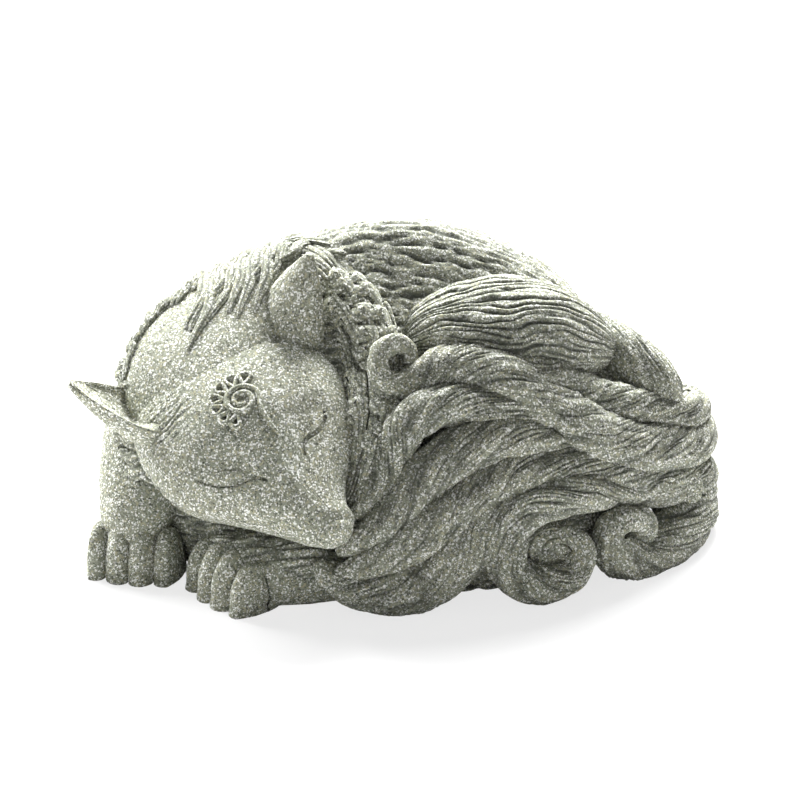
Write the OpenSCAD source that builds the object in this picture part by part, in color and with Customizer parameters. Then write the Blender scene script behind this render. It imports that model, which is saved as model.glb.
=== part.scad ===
// Sleeping fox with nine curled tails, a garden figurine cast in one piece as stone
// Millimetres, +Z up, -Y towards the viewer, origin under the middle of the figure on the ground

/* [Figure] */
// Length of the figure from the tip of the lying ear to the piled tails
figure_length = 290; // [260:5:330]
// Depth of the figure from its back to the nose
figure_depth = 200; // [180:2:230]
// Height of the figure at the top of the back
figure_height = 140; // [124:2:158]
// Width of the haunch across its middle
haunch_width = 62; // [54:1:70]
// Bulge of the haunch out of the back
haunch_bulge = 24; // [20:1:30]
// Depth of the main furrows in the fur of the back and haunch
fur_furrow = 1.4; // [0.4:0.2:2]
// Girth radius of the tail root on the rump
root_radius = 17; // [14:0.5:20]

/* [Head] */
// Length of the head from the line of the ears to the nose tip
head_length = 109; // [98:1:122]
// Width across the cheeks
head_width = 98; // [86:1:108]
// Height of the skull from jaw to crown
head_height = 59; // [52:1:66]
// Length of an ear from its root to its tip
ear_length = 45; // [38:1:54]
// Width of an ear at its root
ear_width = 38; // [28:1:42]
// Rise of the ear tip towards the crown
ear_bend = 5; // [0:0.5:9]
// Depth of the hollow in an ear
ear_hollow = 10; // [4:0.5:12]
// Wall of an ear beside its hollow
ear_wall = 4.5; // [3:0.5:6]
// Width of the nose pad
nose_width = 17; // [13:1:21]
// Length of the closed eyelid
eyelid_length = 30; // [24:1:36]
// Depth of the eyelid from brow to lashes
eyelid_depth = 8; // [6:0.5:11]
// Rise of the eyelid above the face
eyelid_rise = 2; // [1.4:0.2:3]
// Radius of the spiral on the brow
swirl_radius = 8; // [6.5:0.5:10]
// Width of the raised line of the spiral
swirl_line = 2.8; // [2:0.2:4]
// Rise of the spiral above the brow
swirl_rise = 1.6; // [1:0.2:2.6]
// Length of the petals round the spiral
petal_length = 6.5; // [4:0.5:9]
// Number of petals round the spiral
swirl_petals = 7; // [5:1:9]

/* [Legs] */
// Thickness radius of the upper foreleg
shoulder_radius = 21; // [17:1:26]
// Thickness radius of the lower foreleg
wrist_radius = 16; // [13:1:20]
// Number of toes on a paw
toes = 4; // [3:1:5]
// Width of one toe
toe_width = 11; // [9:0.5:12.5]
// Length of a paw from heel to toe tips
paw_length = 27; // [23:1:32]
// Thickness radius of the fur that hangs from the forearm
forearm_fur_radius = 11; // [9:0.5:13]
// Height of a paw over its toes
paw_height = 26; // [22:1:30]
// Depth of the cleft between two toes
toe_cleft = 3; // [2:0.5:4.5]

/* [Tails] */
// Strands of fur round one tail
strands = 7; // [5:1:9]
// Depth of the groove between two strands
strand_groove = 1.8; // [0.6:0.2:3]
// Girth radius of the hooked tail on top of the pile
hook_radius = 14; // [12:0.5:16]
// Girth radius of the rope tail under the hooked one
rope_radius = 12; // [10:0.5:14]
// Girth radius of the tail beside the cheek
cheek_radius = 11; // [9:0.5:13]
// Girth radius of the crest tail across the middle
crest_radius = 14; // [12:0.5:16]
// Girth radius of the broad tail that sweeps to the chin
sweep_radius = 13; // [11:0.5:15]
// Girth radius of the tail that curls in front of the chin
chin_radius = 14; // [12:0.5:16]
// Girth radius of the tail that ends in a spiral
spiral_radius = 12; // [10:0.5:13.5]
// Girth radius of the tail that curls at the corner
corner_radius = 16; // [14:0.5:18]
// Girth radius of the low tail under the crest
low_radius = 14; // [12:0.5:16]

/* [Neck] */
// Thickness radius of the neck ruff
ruff_radius = 14; // [12:0.5:17]
// Depth of the grooves in the ruff
ruff_groove = 2; // [1:0.2:3]

/* [Hidden] */
stone = [0.58, 0.60, 0.55];
// Sizes of the clay figure that the station tables were taken from
clay = [290, 200, 140];
stretch = [figure_length / clay[0], figure_depth / clay[1], figure_height / clay[2]];
// Place on the clay figure that comes to stand over the origin
datum = [2.9, -3.3, 0];
// Point below the pile from which every tail faces outwards
pile_heart = [0, 0, -20];
// Rings that a loft gets between two stations
finesse = 2;
ground = 400;

function place(p) = [for (k = [0:2]) (p[k] - datum[k]) * stretch[k]];
function xyz(r) = [r[0], r[1], r[2]];
function unit(v) = v / norm(v);
function middle(ring) = [for (p = ring) 1] * ring / len(ring);

// Smooth curve through four neighbouring rows, at the share t between the middle two
function between(a, b, c, d, t) =
    0.5 * (2 * b + (c - a) * t + (2 * a - 5 * b + 4 * c - d) * t * t + (3 * b - a - 3 * c + d) * t * t * t);
function rounded(rows, steps) = [
    for (i = [0:len(rows) - 2])
        for (k = [0:steps - 1])
            between(rows[max(i - 1, 0)], rows[i], rows[i + 1], rows[min(i + 2, len(rows) - 1)], k / steps),
    rows[len(rows) - 1]];
function heading(path, i) = unit(xyz(path[min(i + 1, len(path) - 1)]) - xyz(path[max(i - 1, 0)]));

// Closed skin over rings of equal count, with a point in the middle of each end
module skin(rings) {
    sides = len(rings[0]);
    ends = len(rings) - 1;
    points = concat([middle(rings[0])], [for (r = rings) each r], [middle(rings[ends])]);
    last = len(points) - 1;
    id = function (i, j) 1 + i * sides + (j % sides);
    faces = concat(
        [for (j = [0:sides - 1]) [0, id(0, j), id(0, j + 1)]],
        [for (i = [0:ends - 1]) for (j = [0:sides - 1])
            each [[id(i, j), id(i + 1, j), id(i + 1, j + 1)], [id(i, j), id(i + 1, j + 1), id(i, j + 1)]]],
        [for (j = [0:sides - 1]) [last, id(ends, j + 1), id(ends, j)]]);
    polyhedron(points, faces, convexity = 8);
}

// Rings square to a route of rows [x, y, z, half width, half thickness] that faces outwards.
// Every second corner lies in a groove, and the grooves wind by turn degrees a ring
function coat(rows, ridges, groove, turn, heart = pile_heart) =
    let (path = rounded([for (r = rows) concat(place(r), [r[3], r[4]])], finesse), sides = 2 * ridges)
    [for (i = [0:len(path) - 1])
        let (p = xyz(path[i]), t = heading(path, i), out = unit(p - heart),
             n = unit(out - (out * t) * t), b = cross(n, t), r = [path[i][3], path[i][4]])
        [for (j = [0:sides - 1])
            let (a = 360 * j / sides + turn * i, cut = j % 2 == 0 ? min(groove, 0.3 * min(r)) : 0)
            p + b * (r[0] - cut) * cos(a) + n * (r[1] - cut) * sin(a)]];

module above_ground() {
    intersection() {
        children();
        translate([-ground / 2, -ground / 2, 0]) cube([ground, ground, ground]);
    }
}

// Torso: levels of [z, reach left, reach right, reach back, reach front, middle y]
torso_levels = [
    [-4, 116, 112, 76, 80, 10], [15, 124, 118, 84, 84, 10], [40, 128, 118, 86, 80, 11], [65, 123, 108, 81, 68, 13],
    [90, 110, 90, 70, 52, 16], [108, 92, 77, 56, 38, 19], [122, 70, 58, 41, 25, 21], [132, 42, 36, 25, 15, 22],
    [137.5, 22, 18, 12, 8, 22], [139.5, 8, 6, 4, 3, 22]];
torso_sides = 24;
torso_finesse = 3;
torso_squareness = 0.9;
// Sides that one furrow runs along before it steps up a ring
furrow_run = 3;
function reach(c, low, high) = c < 0 ? low : high;
function squared(c) = sign(c) * pow(abs(c), torso_squareness);
function level_ring(q, i) = [
    for (j = [0:torso_sides - 1])
        let (a = 360 * j / torso_sides, c = cos(a), s = sin(a),
             sunk = (i + floor(j / furrow_run)) % 2 == 0 ? fur_furrow : 0)
        place([(reach(c, q[1], q[2]) - sunk) * squared(c),
               q[5] + (reach(s, q[4], q[3]) - sunk) * squared(s), q[0]])];
module torso_form() {
    levels = rounded(torso_levels, torso_finesse);
    skin([for (i = [0:len(levels) - 1]) level_ring(levels[i], i)]);
}

// Haunch from the hip to the knee, rows [x, y, z, share of width, share of bulge]
haunch_rows = [
    [93, 8, 80, 0.06, 0.15], [88, 4, 85, 0.23, 0.45], [78, -2, 92, 0.36, 0.7], [63, -7, 97, 0.45, 0.9],
    [46, -10, 99, 0.5, 1], [27, -14, 100, 0.45, 0.9], [11, -18, 99, 0.31, 0.62], [3, -21, 97, 0.14, 0.33]];
haunch_ridges = 8;
haunch_turn = 4;
module haunch_form()
    skin(coat([for (r = haunch_rows) concat(xyz(r), [r[3] * haunch_width, r[4] * haunch_bulge])],
              haunch_ridges, fur_furrow, haunch_turn));

// Tail root from the rump down into the pile
root_rows = [
    [66, 34, 88, 0.4, 0.4], [84, 20, 87, 0.8, 0.7], [98, 8, 82, 0.9, 0.8], [109, 0, 74, 0.9, 0.85],
    [117, -4, 66, 0.75, 0.75], [121, -5, 57, 0.4, 0.4]];

// Tails: route rows hold the widths as shares of the tail's own girth radius
hook_rows = [
    [69, -36, 62, 0.35, 0.35], [63, -42, 73, 0.75, 0.7], [54, -44, 84, 0.9, 0.85], [39, -41, 92, 0.95, 0.9],
    [22, -40, 94, 0.85, 0.8], [10, -43, 91, 0.65, 0.65], [0, -47, 89, 0.48, 0.5], [-8, -49, 94, 0.38, 0.42],
    [-9, -44, 102, 0.34, 0.4], [-2, -39, 105, 0.32, 0.36], [4, -38, 101, 0.28, 0.3], [4, -41, 96, 0.2, 0.22]];
rope_rows = [
    [129, 20, 58, 0.4, 0.4], [135, 10, 54, 0.75, 0.75], [128, -3, 56, 0.85, 0.8], [112, -14, 63, 0.85, 0.8],
    [95, -22, 70, 0.85, 0.8], [79, -28, 77, 0.9, 0.85], [66, -33, 86, 0.9, 0.8], [54, -35, 94, 0.65, 0.6],
    [44, -34, 99, 0.3, 0.3]];
crest_rows = [
    [120, 50, 42, 0.4, 0.4], [133, 30, 42, 0.75, 0.7], [135, 6, 41, 0.95, 0.85], [123, -14, 45, 0.95, 0.85],
    [106, -28, 51, 0.95, 0.85], [88, -38, 60, 0.95, 0.9], [75, -42, 71, 0.9, 0.85], [67, -43, 80, 0.7, 0.6],
    [62, -42, 87, 0.3, 0.3]];
cheek_rows = [
    [70, -40, 64, 0.4, 0.4], [58, -47, 72, 0.65, 0.65], [45, -51, 79, 0.8, 0.8], [29, -53, 83, 0.9, 0.85],
    [14, -56, 82, 0.95, 0.85], [3, -60, 76, 0.95, 0.85], [-3, -64, 65, 0.85, 0.8], [-8, -69, 54, 0.75, 0.7],
    [-16, -73, 45, 0.55, 0.5], [-24, -76, 40, 0.2, 0.2]];
sweep_rows = [
    [75, -40, 57, 0.3, 0.3], [64, -49, 63, 0.65, 0.65], [47, -56, 68, 0.9, 0.85], [29, -62, 66, 0.95, 0.85],
    [14, -68, 58, 0.9, 0.85], [3, -73, 47, 0.85, 0.8], [-8, -78, 37, 0.7, 0.65], [-19, -81, 30, 0.45, 0.45],
    [-27, -82, 26, 0.15, 0.15]];
low_rows = [
    [128, 40, 20, 0.4, 0.4], [138, 8, 22, 0.8, 0.75], [125, -14, 27, 0.9, 0.85], [104, -32, 36, 0.9, 0.85],
    [83, -45, 46, 0.85, 0.8], [64, -54, 52, 0.85, 0.8], [46, -62, 53, 0.9, 0.85], [31, -70, 46, 0.9, 0.85],
    [15, -77, 37, 0.85, 0.8], [0, -82, 28, 0.7, 0.65], [-16, -85, 21, 0.5, 0.45], [-28, -86, 18, 0.2, 0.2]];
chin_rows = [
    [56, -60, 44, 0.3, 0.3], [45, -70, 42, 0.6, 0.65], [34, -76, 34, 0.85, 0.8], [24, -80, 22, 0.9, 0.85],
    [10, -83, 12, 0.9, 0.85], [-6, -85, 9, 0.8, 0.8], [-21, -86, 11, 0.6, 0.65], [-31, -85, 17, 0.4, 0.45],
    [-35, -83, 23, 0.2, 0.2]];
spiral_rows = [
    [106, -38, 33, 0.45, 0.45], [87, -51, 40, 0.8, 0.75], [69, -62, 43, 0.85, 0.85], [53, -70, 40, 0.9, 0.85],
    [45, -76, 28, 0.9, 0.85], [49, -79, 14, 0.85, 0.85], [62, -79, 9, 0.8, 0.8], [75, -76, 13, 0.65, 0.65],
    [79, -72, 23, 0.5, 0.5], [72, -69, 28, 0.4, 0.4], [65, -70, 24, 0.3, 0.3], [65, -71, 20, 0.15, 0.15]];
corner_rows = [
    [120, 50, 10, 0.4, 0.4], [133, 30, 11, 0.7, 0.65], [136, 6, 11, 0.85, 0.8], [131, -14, 9, 0.9, 0.9],
    [119, -33, 6, 0.9, 0.9], [105, -47, 5, 0.8, 0.8], [94, -56, 13, 0.65, 0.65], [92, -57, 24, 0.5, 0.5],
    [99, -54, 28, 0.4, 0.4], [106, -51, 24, 0.3, 0.3], [106, -52, 19, 0.15, 0.15]];

function girth(rows, radius) = [for (r = rows) [r[0], r[1], r[2], r[3] * radius, r[4] * radius]];
module tail(rows, radius, turn) skin(coat(girth(rows, radius), strands, strand_groove, turn));

module root_form() tail(root_rows, root_radius, 4);
module hook_form() tail(hook_rows, hook_radius, -12);
module rope_form() tail(rope_rows, rope_radius, -14);
module cheek_form() tail(cheek_rows, cheek_radius, -9);
module crest_form() tail(crest_rows, crest_radius, -12);
module sweep_form() tail(sweep_rows, sweep_radius, -9);
module chin_form() tail(chin_rows, chin_radius, -8);
module spiral_form() tail(spiral_rows, spiral_radius, 10);
module corner_form() tail(corner_rows, corner_radius, 8);
module low_form() tail(low_rows, low_radius, -10);

// Neck ruff, a collar of fur round the back of the head
ruff_rows = [
    [-108, -44, 40, 0.6, 0.6], [-115, -28, 64, 1, 0.85], [-109, -6, 86, 1.2, 0.9], [-92, 9, 101, 1.2, 0.9],
    [-66, 16, 114, 1.2, 0.85], [-42, 12, 121, 1.2, 0.85], [-22, -2, 112, 1.1, 0.8], [-10, -26, 94, 1, 0.85],
    [-12, -52, 68, 0.9, 0.8], [-22, -70, 44, 0.5, 0.6]];

// Head: its own axes run to the viewer's right, out of the crown and to the nose
head_side = unit([0.90 * stretch[0], 0.29, 0.31]);
head_nose = unit([0.406 * stretch[0], -0.829, -0.386]);
head_crown = unit(cross(head_nose, head_side));
nose_tip = [-27, -98, 42];
// Stations [share of length from the line of the ears, drift to the side, half width, crown, jaw]
// on a clay head of the given width, height and length
clay_head = [98, 59, 109];
// A longer head pushes the ruff back by this share of what it gains
ruff_follow = 0.5;
nape_shift = head_nose * (clay_head[2] - head_length) * ruff_follow;
head_stations = [
    [-0.22, -3, 10, 4, 8], [-0.18, -2, 17, 10, 13], [-0.1, -3, 30, 19, 22], [0, -6, 42, 24, 27],
    [0.15, -10, 48, 28, 29], [0.3, -11, 49, 29, 30], [0.45, -11, 47, 28, 28], [0.57, -11, 41, 24, 25],
    [0.68, -9, 31, 19, 21], [0.78, -7, 22, 15.5, 17], [0.88, -4, 15, 12.5, 14], [0.95, -1, 12, 10.5, 11],
    [1, 0, 7, 6, 6]];
head_fine = rounded(head_stations, finesse);
head_sides = 20;
function head_column(k) = [for (r = head_fine) [r[0], r[k]]];
function head_spot(share, side, crown) =
    place(nose_tip) + head_nose * (share - 1) * head_length + head_side * side + head_crown * crown;
// Point of the face at a share of the length and an angle round it, 90 on the midline, lifted off the skin
function face(share, angle, lift = 0) =
    let (broad = head_width / clay_head[0], tall = head_height / clay_head[1],
         w = (lookup(share, head_column(2)) * broad + lift) * cos(angle),
         rise = angle > 0 && angle < 180 ? lookup(share, head_column(3)) : lookup(share, head_column(4)))
    head_spot(share, lookup(share, head_column(1)) * broad + w, (rise * tall + lift) * sin(angle));
module head_form()
    skin([for (r = head_fine) [for (j = [0:head_sides - 1]) face(r[0], 360 * j / head_sides)]]);

ruff_locks = 8;
ruff_turn = 12;
module ruff_form()
    translate(nape_shift) skin(coat(girth(ruff_rows, ruff_radius), ruff_locks, ruff_groove, ruff_turn));

// Nose pad, a rounded block on the muzzle's end
nose_profile = [[-7, 0.35, 0.3], [-5, 0.8, 0.7], [-1, 1, 0.85], [2, 0.8, 0.65], [3.5, 0.4, 0.3]];
module nose_form()
    skin([for (q = nose_profile) [for (j = [0:9])
        head_spot(1, q[1] * nose_width / 2 * cos(36 * j), 1 + q[2] * nose_width / 2 * sin(36 * j))
        + head_nose * q[0]]]);

// Ear: a cupped blade that leaves its root along the given direction, hollow on its open side
ear_profile = [[-0.16, 0.9], [0.1, 1], [0.32, 0.96], [0.54, 0.78], [0.74, 0.54], [0.9, 0.28], [1, 0.1]];
ear_arc = 8;
function ear_ring(root, along, open, share, width) =
    let (t = unit(along), o = unit(open - (open * t) * t), b = cross(o, t), h = width * ear_width / 2,
         wall = ear_wall * (0.35 + 0.65 * width), cup = ear_hollow * width,
         p = root + t * share * ear_length + head_crown * ear_bend * share * abs(share))
    concat(
        [for (k = [0:ear_arc]) let (a = 180 + 180 * k / ear_arc)
            p + b * h * cos(a) + o * (cup + wall) * sin(a)],
        [for (k = [0:ear_arc - 2]) let (a = 180 * (k + 1) / ear_arc)
            p + b * (h - wall * 0.6) * cos(a) - o * cup * sin(a) + o * wall * 0.4]);
module ear_form(root, along, open)
    skin([for (q = ear_profile) ear_ring(root, along, open, q[0], q[1])]);
module right_ear_form() ear_form(face(0.2, 146, -14), [-0.93, -0.1, 0.36], [0.1, -0.02, 1]);
module left_ear_form() ear_form(face(0.08, 25, -16), [0.3, -0.05, 0.95], [0.62, 0.78, 0]);

// Eyelid: a low bulge along the closed eye
module eyelid_form(share, angle, tilt)
    skin([for (i = [0:6]) let (u = i / 3 - 1, fat = sqrt(max(0.04, 1 - u * u)))
        [for (j = [0:7]) let (a = 45 * j, along = u * eyelid_length / 2, across = eyelid_depth / 2 * fat * cos(a))
            face(share + (along * sin(tilt) + across * cos(tilt)) / head_length,
                 angle + (along * cos(tilt) - across * sin(tilt)) * 1.5, eyelid_rise * (fat * sin(a) + 0.12))]]);
// Eyes [share of the head's length, angle round the face, tilt]
right_eye = [0.64, 128, -29];
left_eye = [0.62, 52, 36];
module right_eyelid_form() eyelid_form(right_eye[0], right_eye[1], right_eye[2]);
module left_eyelid_form() eyelid_form(left_eye[0], left_eye[1], left_eye[2]);

// Spiral with petals, a traditional ornament raised on the brow
swirl_share = 0.41;
swirl_turns = 2;
swirl_end = -40;
swirl_drop = 9;
swirl_steps = 18;
petal_fan = [62, 232];
// Degrees round the face that one millimetre across the brow covers
brow_turn = 1.22;
function brow(x, y, lift) = face(swirl_share - y / head_length, 90 - x * brow_turn, lift);
function swirl_reach(u) = swirl_radius * (0.2 + 0.8 * u);
// Line of the spiral for a share from 0 to 1, then its tail towards the nose up to 1.3
function swirl_at(u) =
    let (q = min(u, 1), a = swirl_end + 360 * swirl_turns * (1 - q), tail = max(u - 1, 0) / 0.3)
    swirl_reach(q) * [cos(a), sin(a)] + tail * swirl_drop * [0.25 * tail, -1];
function swirl_across(u) =
    let (t = swirl_at(u + 0.01) - swirl_at(u - 0.01)) [-t[1], t[0]] / norm(t);
// Ring of a raised line: half buried in the brow, w wide to each side of its middle q
function ridge_ring(q, side, w) = [
    for (j = [0:ridge_sides - 1])
        let (a = 360 * j / ridge_sides + 90, r = q + side * w * cos(a)) brow(r[0], r[1], swirl_rise * sin(a))];
ridge_sides = 5;
module swirl_tube()
    skin([for (i = [0:swirl_steps])
        let (u = 0.02 + 1.26 * i / swirl_steps, end = i == 0 || i == swirl_steps ? 0.4 : 1)
        ridge_ring(swirl_at(u), swirl_across(u), swirl_line / 2 * end)]);
// Half widths of a petal from its root to its tip, as shares of half the line's width
petal_profile = [0.6, 1.1, 1, 0.3];
module petal(turn) {
    root = swirl_reach(1 - (turn - swirl_end) / 360 / swirl_turns);
    out = [cos(turn), sin(turn)];
    last = len(petal_profile) - 1;
    skin([for (i = [0:last])
        ridge_ring(out * (root + petal_length * i / last), [-out[1], out[0]], swirl_line / 2 * petal_profile[i])]);
}

// Foreleg rows [x, y, z, radius, radius]
right_leg_rows = [
    [-104, 6, 74, 0.6, 0.6], [-111, -8, 60, 0.9, 0.9], [-115, -22, 45, 1, 0.9], [-116, -34, 31, 0.95, 0.85],
    [-117, -43, 20, 0.8, 0.75], [-117, -49, 12, 0.5, 0.5]];
left_leg_rows = [
    [-14, -66, 10, 0.6, 0.6], [-30, -70, 10, 0.8, 0.75], [-46, -72, 10, 0.85, 0.8], [-60, -73, 10, 0.85, 0.8],
    [-72, -73, 10, 0.65, 0.65]];
module right_leg_form() skin(coat(girth(right_leg_rows, shoulder_radius), 6, 0, 0, [-60, -10, 0]));
module left_leg_form() skin(coat(girth(left_leg_rows, wrist_radius), 6, 0, 0));

// Paw: a row of toes, drawn in at each cleft
toe_steps = 4;
paw_side = [[-0.5, 0.1], [-0.42, 0.5], [-0.2, 0.88], [0.1, 1], [0.4, 0.9], [0.6, 0.55], [0.64, 0.2],
            [0.4, -0.1]];
module paw_form(root, across, ahead)
    skin([for (i = [0:toes * toe_steps])
        let (u = i / toe_steps - toes / 2, pinch = abs(cos(180 * (i / toe_steps - 0.5))),
             end = i == 0 || i == toes * toe_steps ? 0.6 : 1, fall = 1 - 0.1 * abs(u),
             draw = toe_cleft * (1 - sqrt(pinch)))
        [for (q = paw_side)
            place(root) + across * u * toe_width
            + ahead * (q[0] * paw_length * fall - sign(q[0]) * draw) * end
            + [0, 0, max(q[1] * (paw_height * fall - draw) * end, -3)]]]);
// A paw stands on the ground under the end of its leg and points ahead
module paw_under(rows, ahead) {
    last = rows[len(rows) - 1];
    paw_form([last[0], last[1], 0] + ahead, [-ahead[1], ahead[0], 0], ahead);
}
module right_paw_form() paw_under(right_leg_rows, unit([-0.2, -0.98, 0]));
module left_paw_form() paw_under(left_leg_rows, unit([-0.75, -0.66, 0]));

// Fur that hangs from the forearm under the chin
fur_rows = [
    [-82, -64, 22, 0.4, 0.4], [-68, -70, 20, 0.9, 0.8], [-52, -74, 19, 1, 0.8], [-38, -76, 18, 1, 0.8],
    [-24, -76, 16, 0.6, 0.6]];
module fur_form() skin(coat(girth(fur_rows, forearm_fur_radius), 6, 1.6, 14));

module torso() color(stone) above_ground() torso_form();

module haunch() color(stone) difference() {
    haunch_form();
    torso_form();
}

module tail_root() color(stone) difference() {
    root_form();
    torso_form();
    haunch_form();
    hook_form();
    rope_form();
}

module neck_ruff() color(stone) difference() {
    ruff_form();
    torso_form();
}

module head() color(stone) difference() {
    head_form();
    torso_form();
    ruff_form();
}

module nose() color(stone) difference() {
    nose_form();
    head_form();
}

module right_ear() color(stone) difference() {
    right_ear_form();
    torso_form();
    head_form();
    ruff_form();
}

module left_ear() color(stone) difference() {
    left_ear_form();
    torso_form();
    head_form();
    ruff_form();
}

module right_eyelid() color(stone) difference() {
    right_eyelid_form();
    head_form();
}

module left_eyelid() color(stone) difference() {
    left_eyelid_form();
    head_form();
}

module brow_swirl() color(stone) difference() {
    union() {
        swirl_tube();
        for (k = [0:swirl_petals - 1])
            petal(petal_fan[0] + (petal_fan[1] - petal_fan[0]) * k / (swirl_petals - 1));
    }
    head_form();
}

module right_foreleg() color(stone) difference() {
    right_leg_form();
    torso_form();
    ruff_form();
    head_form();
}

module right_paw() color(stone) above_ground() difference() {
    right_paw_form();
    torso_form();
    right_leg_form();
    head_form();
}

module left_foreleg() color(stone) above_ground() difference() {
    left_leg_form();
    torso_form();
    head_form();
}

module left_paw() color(stone) above_ground() difference() {
    left_paw_form();
    left_leg_form();
    head_form();
}

module forearm_fur() color(stone) above_ground() difference() {
    fur_form();
    torso_form();
    head_form();
    left_leg_form();
    left_paw_form();
}

module tail_hook() color(stone) difference() {
    hook_form();
    torso_form();
    haunch_form();
    ruff_form();
}

module tail_rope() color(stone) difference() {
    rope_form();
    torso_form();
    hook_form();
}

module tail_crest() color(stone) difference() {
    crest_form();
    torso_form();
    hook_form();
    rope_form();
}

module tail_cheek() color(stone) difference() {
    cheek_form();
    torso_form();
    head_form();
    ruff_form();
    hook_form();
    rope_form();
    crest_form();
}

module tail_sweep() color(stone) difference() {
    sweep_form();
    torso_form();
    head_form();
    left_leg_form();
    crest_form();
    cheek_form();
}

module tail_low() color(stone) difference() {
    low_form();
    torso_form();
    rope_form();
    crest_form();
    sweep_form();
}

module tail_corner() color(stone) above_ground() difference() {
    corner_form();
    torso_form();
    crest_form();
    low_form();
}

module tail_spiral() color(stone) above_ground() difference() {
    spiral_form();
    torso_form();
    crest_form();
    low_form();
    corner_form();
    sweep_form();
}

module tail_chin() color(stone) above_ground() difference() {
    chin_form();
    torso_form();
    left_leg_form();
    fur_form();
    sweep_form();
    spiral_form();
    crest_form();
    low_form();
}

torso();
haunch();
tail_root();
neck_ruff();
head();
nose();
right_ear();
left_ear();
right_eyelid();
left_eyelid();
brow_swirl();
right_foreleg();
right_paw();
left_foreleg();
left_paw();
forearm_fur();
tail_hook();
tail_rope();
tail_crest();
tail_cheek();
tail_sweep();
tail_low();
tail_corner();
tail_spiral();
tail_chin();
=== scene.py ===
# Sleeping fox with nine curled tails, a garden figurine cast in one piece as granite-look stone
# Fur, face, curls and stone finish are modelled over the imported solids, in the same frame
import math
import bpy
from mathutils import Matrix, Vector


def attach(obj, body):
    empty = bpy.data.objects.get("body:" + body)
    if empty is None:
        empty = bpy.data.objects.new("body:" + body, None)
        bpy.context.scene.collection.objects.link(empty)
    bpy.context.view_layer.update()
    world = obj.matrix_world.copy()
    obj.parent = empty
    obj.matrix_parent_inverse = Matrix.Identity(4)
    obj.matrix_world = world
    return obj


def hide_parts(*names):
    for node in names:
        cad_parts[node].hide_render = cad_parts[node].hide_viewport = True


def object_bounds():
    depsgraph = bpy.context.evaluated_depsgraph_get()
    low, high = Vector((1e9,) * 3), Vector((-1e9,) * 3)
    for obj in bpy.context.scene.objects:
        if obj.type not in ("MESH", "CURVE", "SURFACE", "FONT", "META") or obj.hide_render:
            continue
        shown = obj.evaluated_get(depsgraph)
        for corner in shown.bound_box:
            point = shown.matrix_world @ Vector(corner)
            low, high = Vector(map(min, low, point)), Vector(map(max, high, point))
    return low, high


bl_info = {
    "name": "Sleeping Stone Fox",
    "version": (1, 0, 0),
    "blender": (4, 5, 0),
    "location": "View3D > Sidebar > Stone Fox",
    "description": "Carves the fur, face and curled tails of a cast stone fox over its solids",
    "category": "Object",
}

import bpy
import numpy as np
from bpy.props import FloatProperty, FloatVectorProperty, IntProperty, PointerProperty
from mathutils import Vector

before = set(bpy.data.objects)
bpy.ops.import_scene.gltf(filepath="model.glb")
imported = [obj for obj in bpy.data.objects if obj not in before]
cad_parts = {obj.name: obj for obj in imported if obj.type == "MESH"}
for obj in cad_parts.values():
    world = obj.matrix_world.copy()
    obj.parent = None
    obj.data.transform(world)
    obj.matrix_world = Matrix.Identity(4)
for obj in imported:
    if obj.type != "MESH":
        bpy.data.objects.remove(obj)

# Frame units are metres, and the tables below are millimetres on the clay figure
MM = 0.001
CAD_BOX = [[float(c) for c in corner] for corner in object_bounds()]
CLAY_LOW = np.array([-142.58, -103.28, 0.0])
CLAY_HIGH = np.array([148.25, 96.63, 139.5])
CAD_LOW = np.array(CAD_BOX[0]) / MM
STRETCH = (np.array(CAD_BOX[1]) - np.array(CAD_BOX[0])) / MM / (CLAY_HIGH - CLAY_LOW)
# Point below the pile from which every tail faces outwards
PILE_HEART = np.array([0.0, 0.0, -20.0])
BODY = "root"


# Curves

def unit(v):
    return v / np.maximum(np.linalg.norm(v, axis=-1, keepdims=True), 1e-9)


def place(points):
    """Moves clay places, one a row, into the frame in millimetres."""
    return CAD_LOW + (np.asarray(points, float) - CLAY_LOW) * STRETCH


def spline(rows, steps):
    """Smooth curve through the rows, with so many steps from one row to the next."""
    rows = np.asarray(rows, float)
    ends = np.vstack([rows[:1], rows, rows[-1:]])
    t = np.linspace(0, 1, steps, endpoint=False)[:, None]
    pieces = []
    for a, b, c, d in zip(ends, ends[1:], ends[2:], ends[3:]):
        cubic = (3 * b - a - 3 * c + d) * t ** 3
        pieces.append(0.5 * (2 * b + (c - a) * t + (2 * a - 5 * b + 4 * c - d) * t ** 2 + cubic))
    return np.vstack(pieces + [rows[-1:]])


def closed_spline(rows, steps):
    """The same curve, closed on itself."""
    rows = np.asarray(rows, float)
    looped = np.vstack([rows[-1:], rows, rows[:2]])
    return spline(looped, steps)[steps:steps * (len(rows) + 1)]


def even(path, step):
    """The path with its points a step apart, measured on the first three columns."""
    run = np.r_[0, np.cumsum(np.linalg.norm(np.diff(path[:, :3], axis=0), axis=1))]
    count = max(4, int(round(run[-1] / step)) + 1)
    marks = np.linspace(0, run[-1], count)
    return np.stack([np.interp(marks, run, column) for column in path.T], axis=1), marks


def route(rows, radius, step):
    """Even path of clay rows [x, y, z, width share, thickness share], with the row number added."""
    rows = np.asarray(rows, float)
    spots = place(rows[:, :3])
    numbered = np.column_stack([spots, rows[:, 3:5] * radius, np.arange(len(rows))])
    return even(spline(numbered, 14), step)


def fade(value, low, high):
    """Smooth step from 0 at low to 1 at high."""
    t = np.clip((value - low) / (high - low), 0, 1)
    return t * t * (3 - 2 * t)


# Carving patterns

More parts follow.
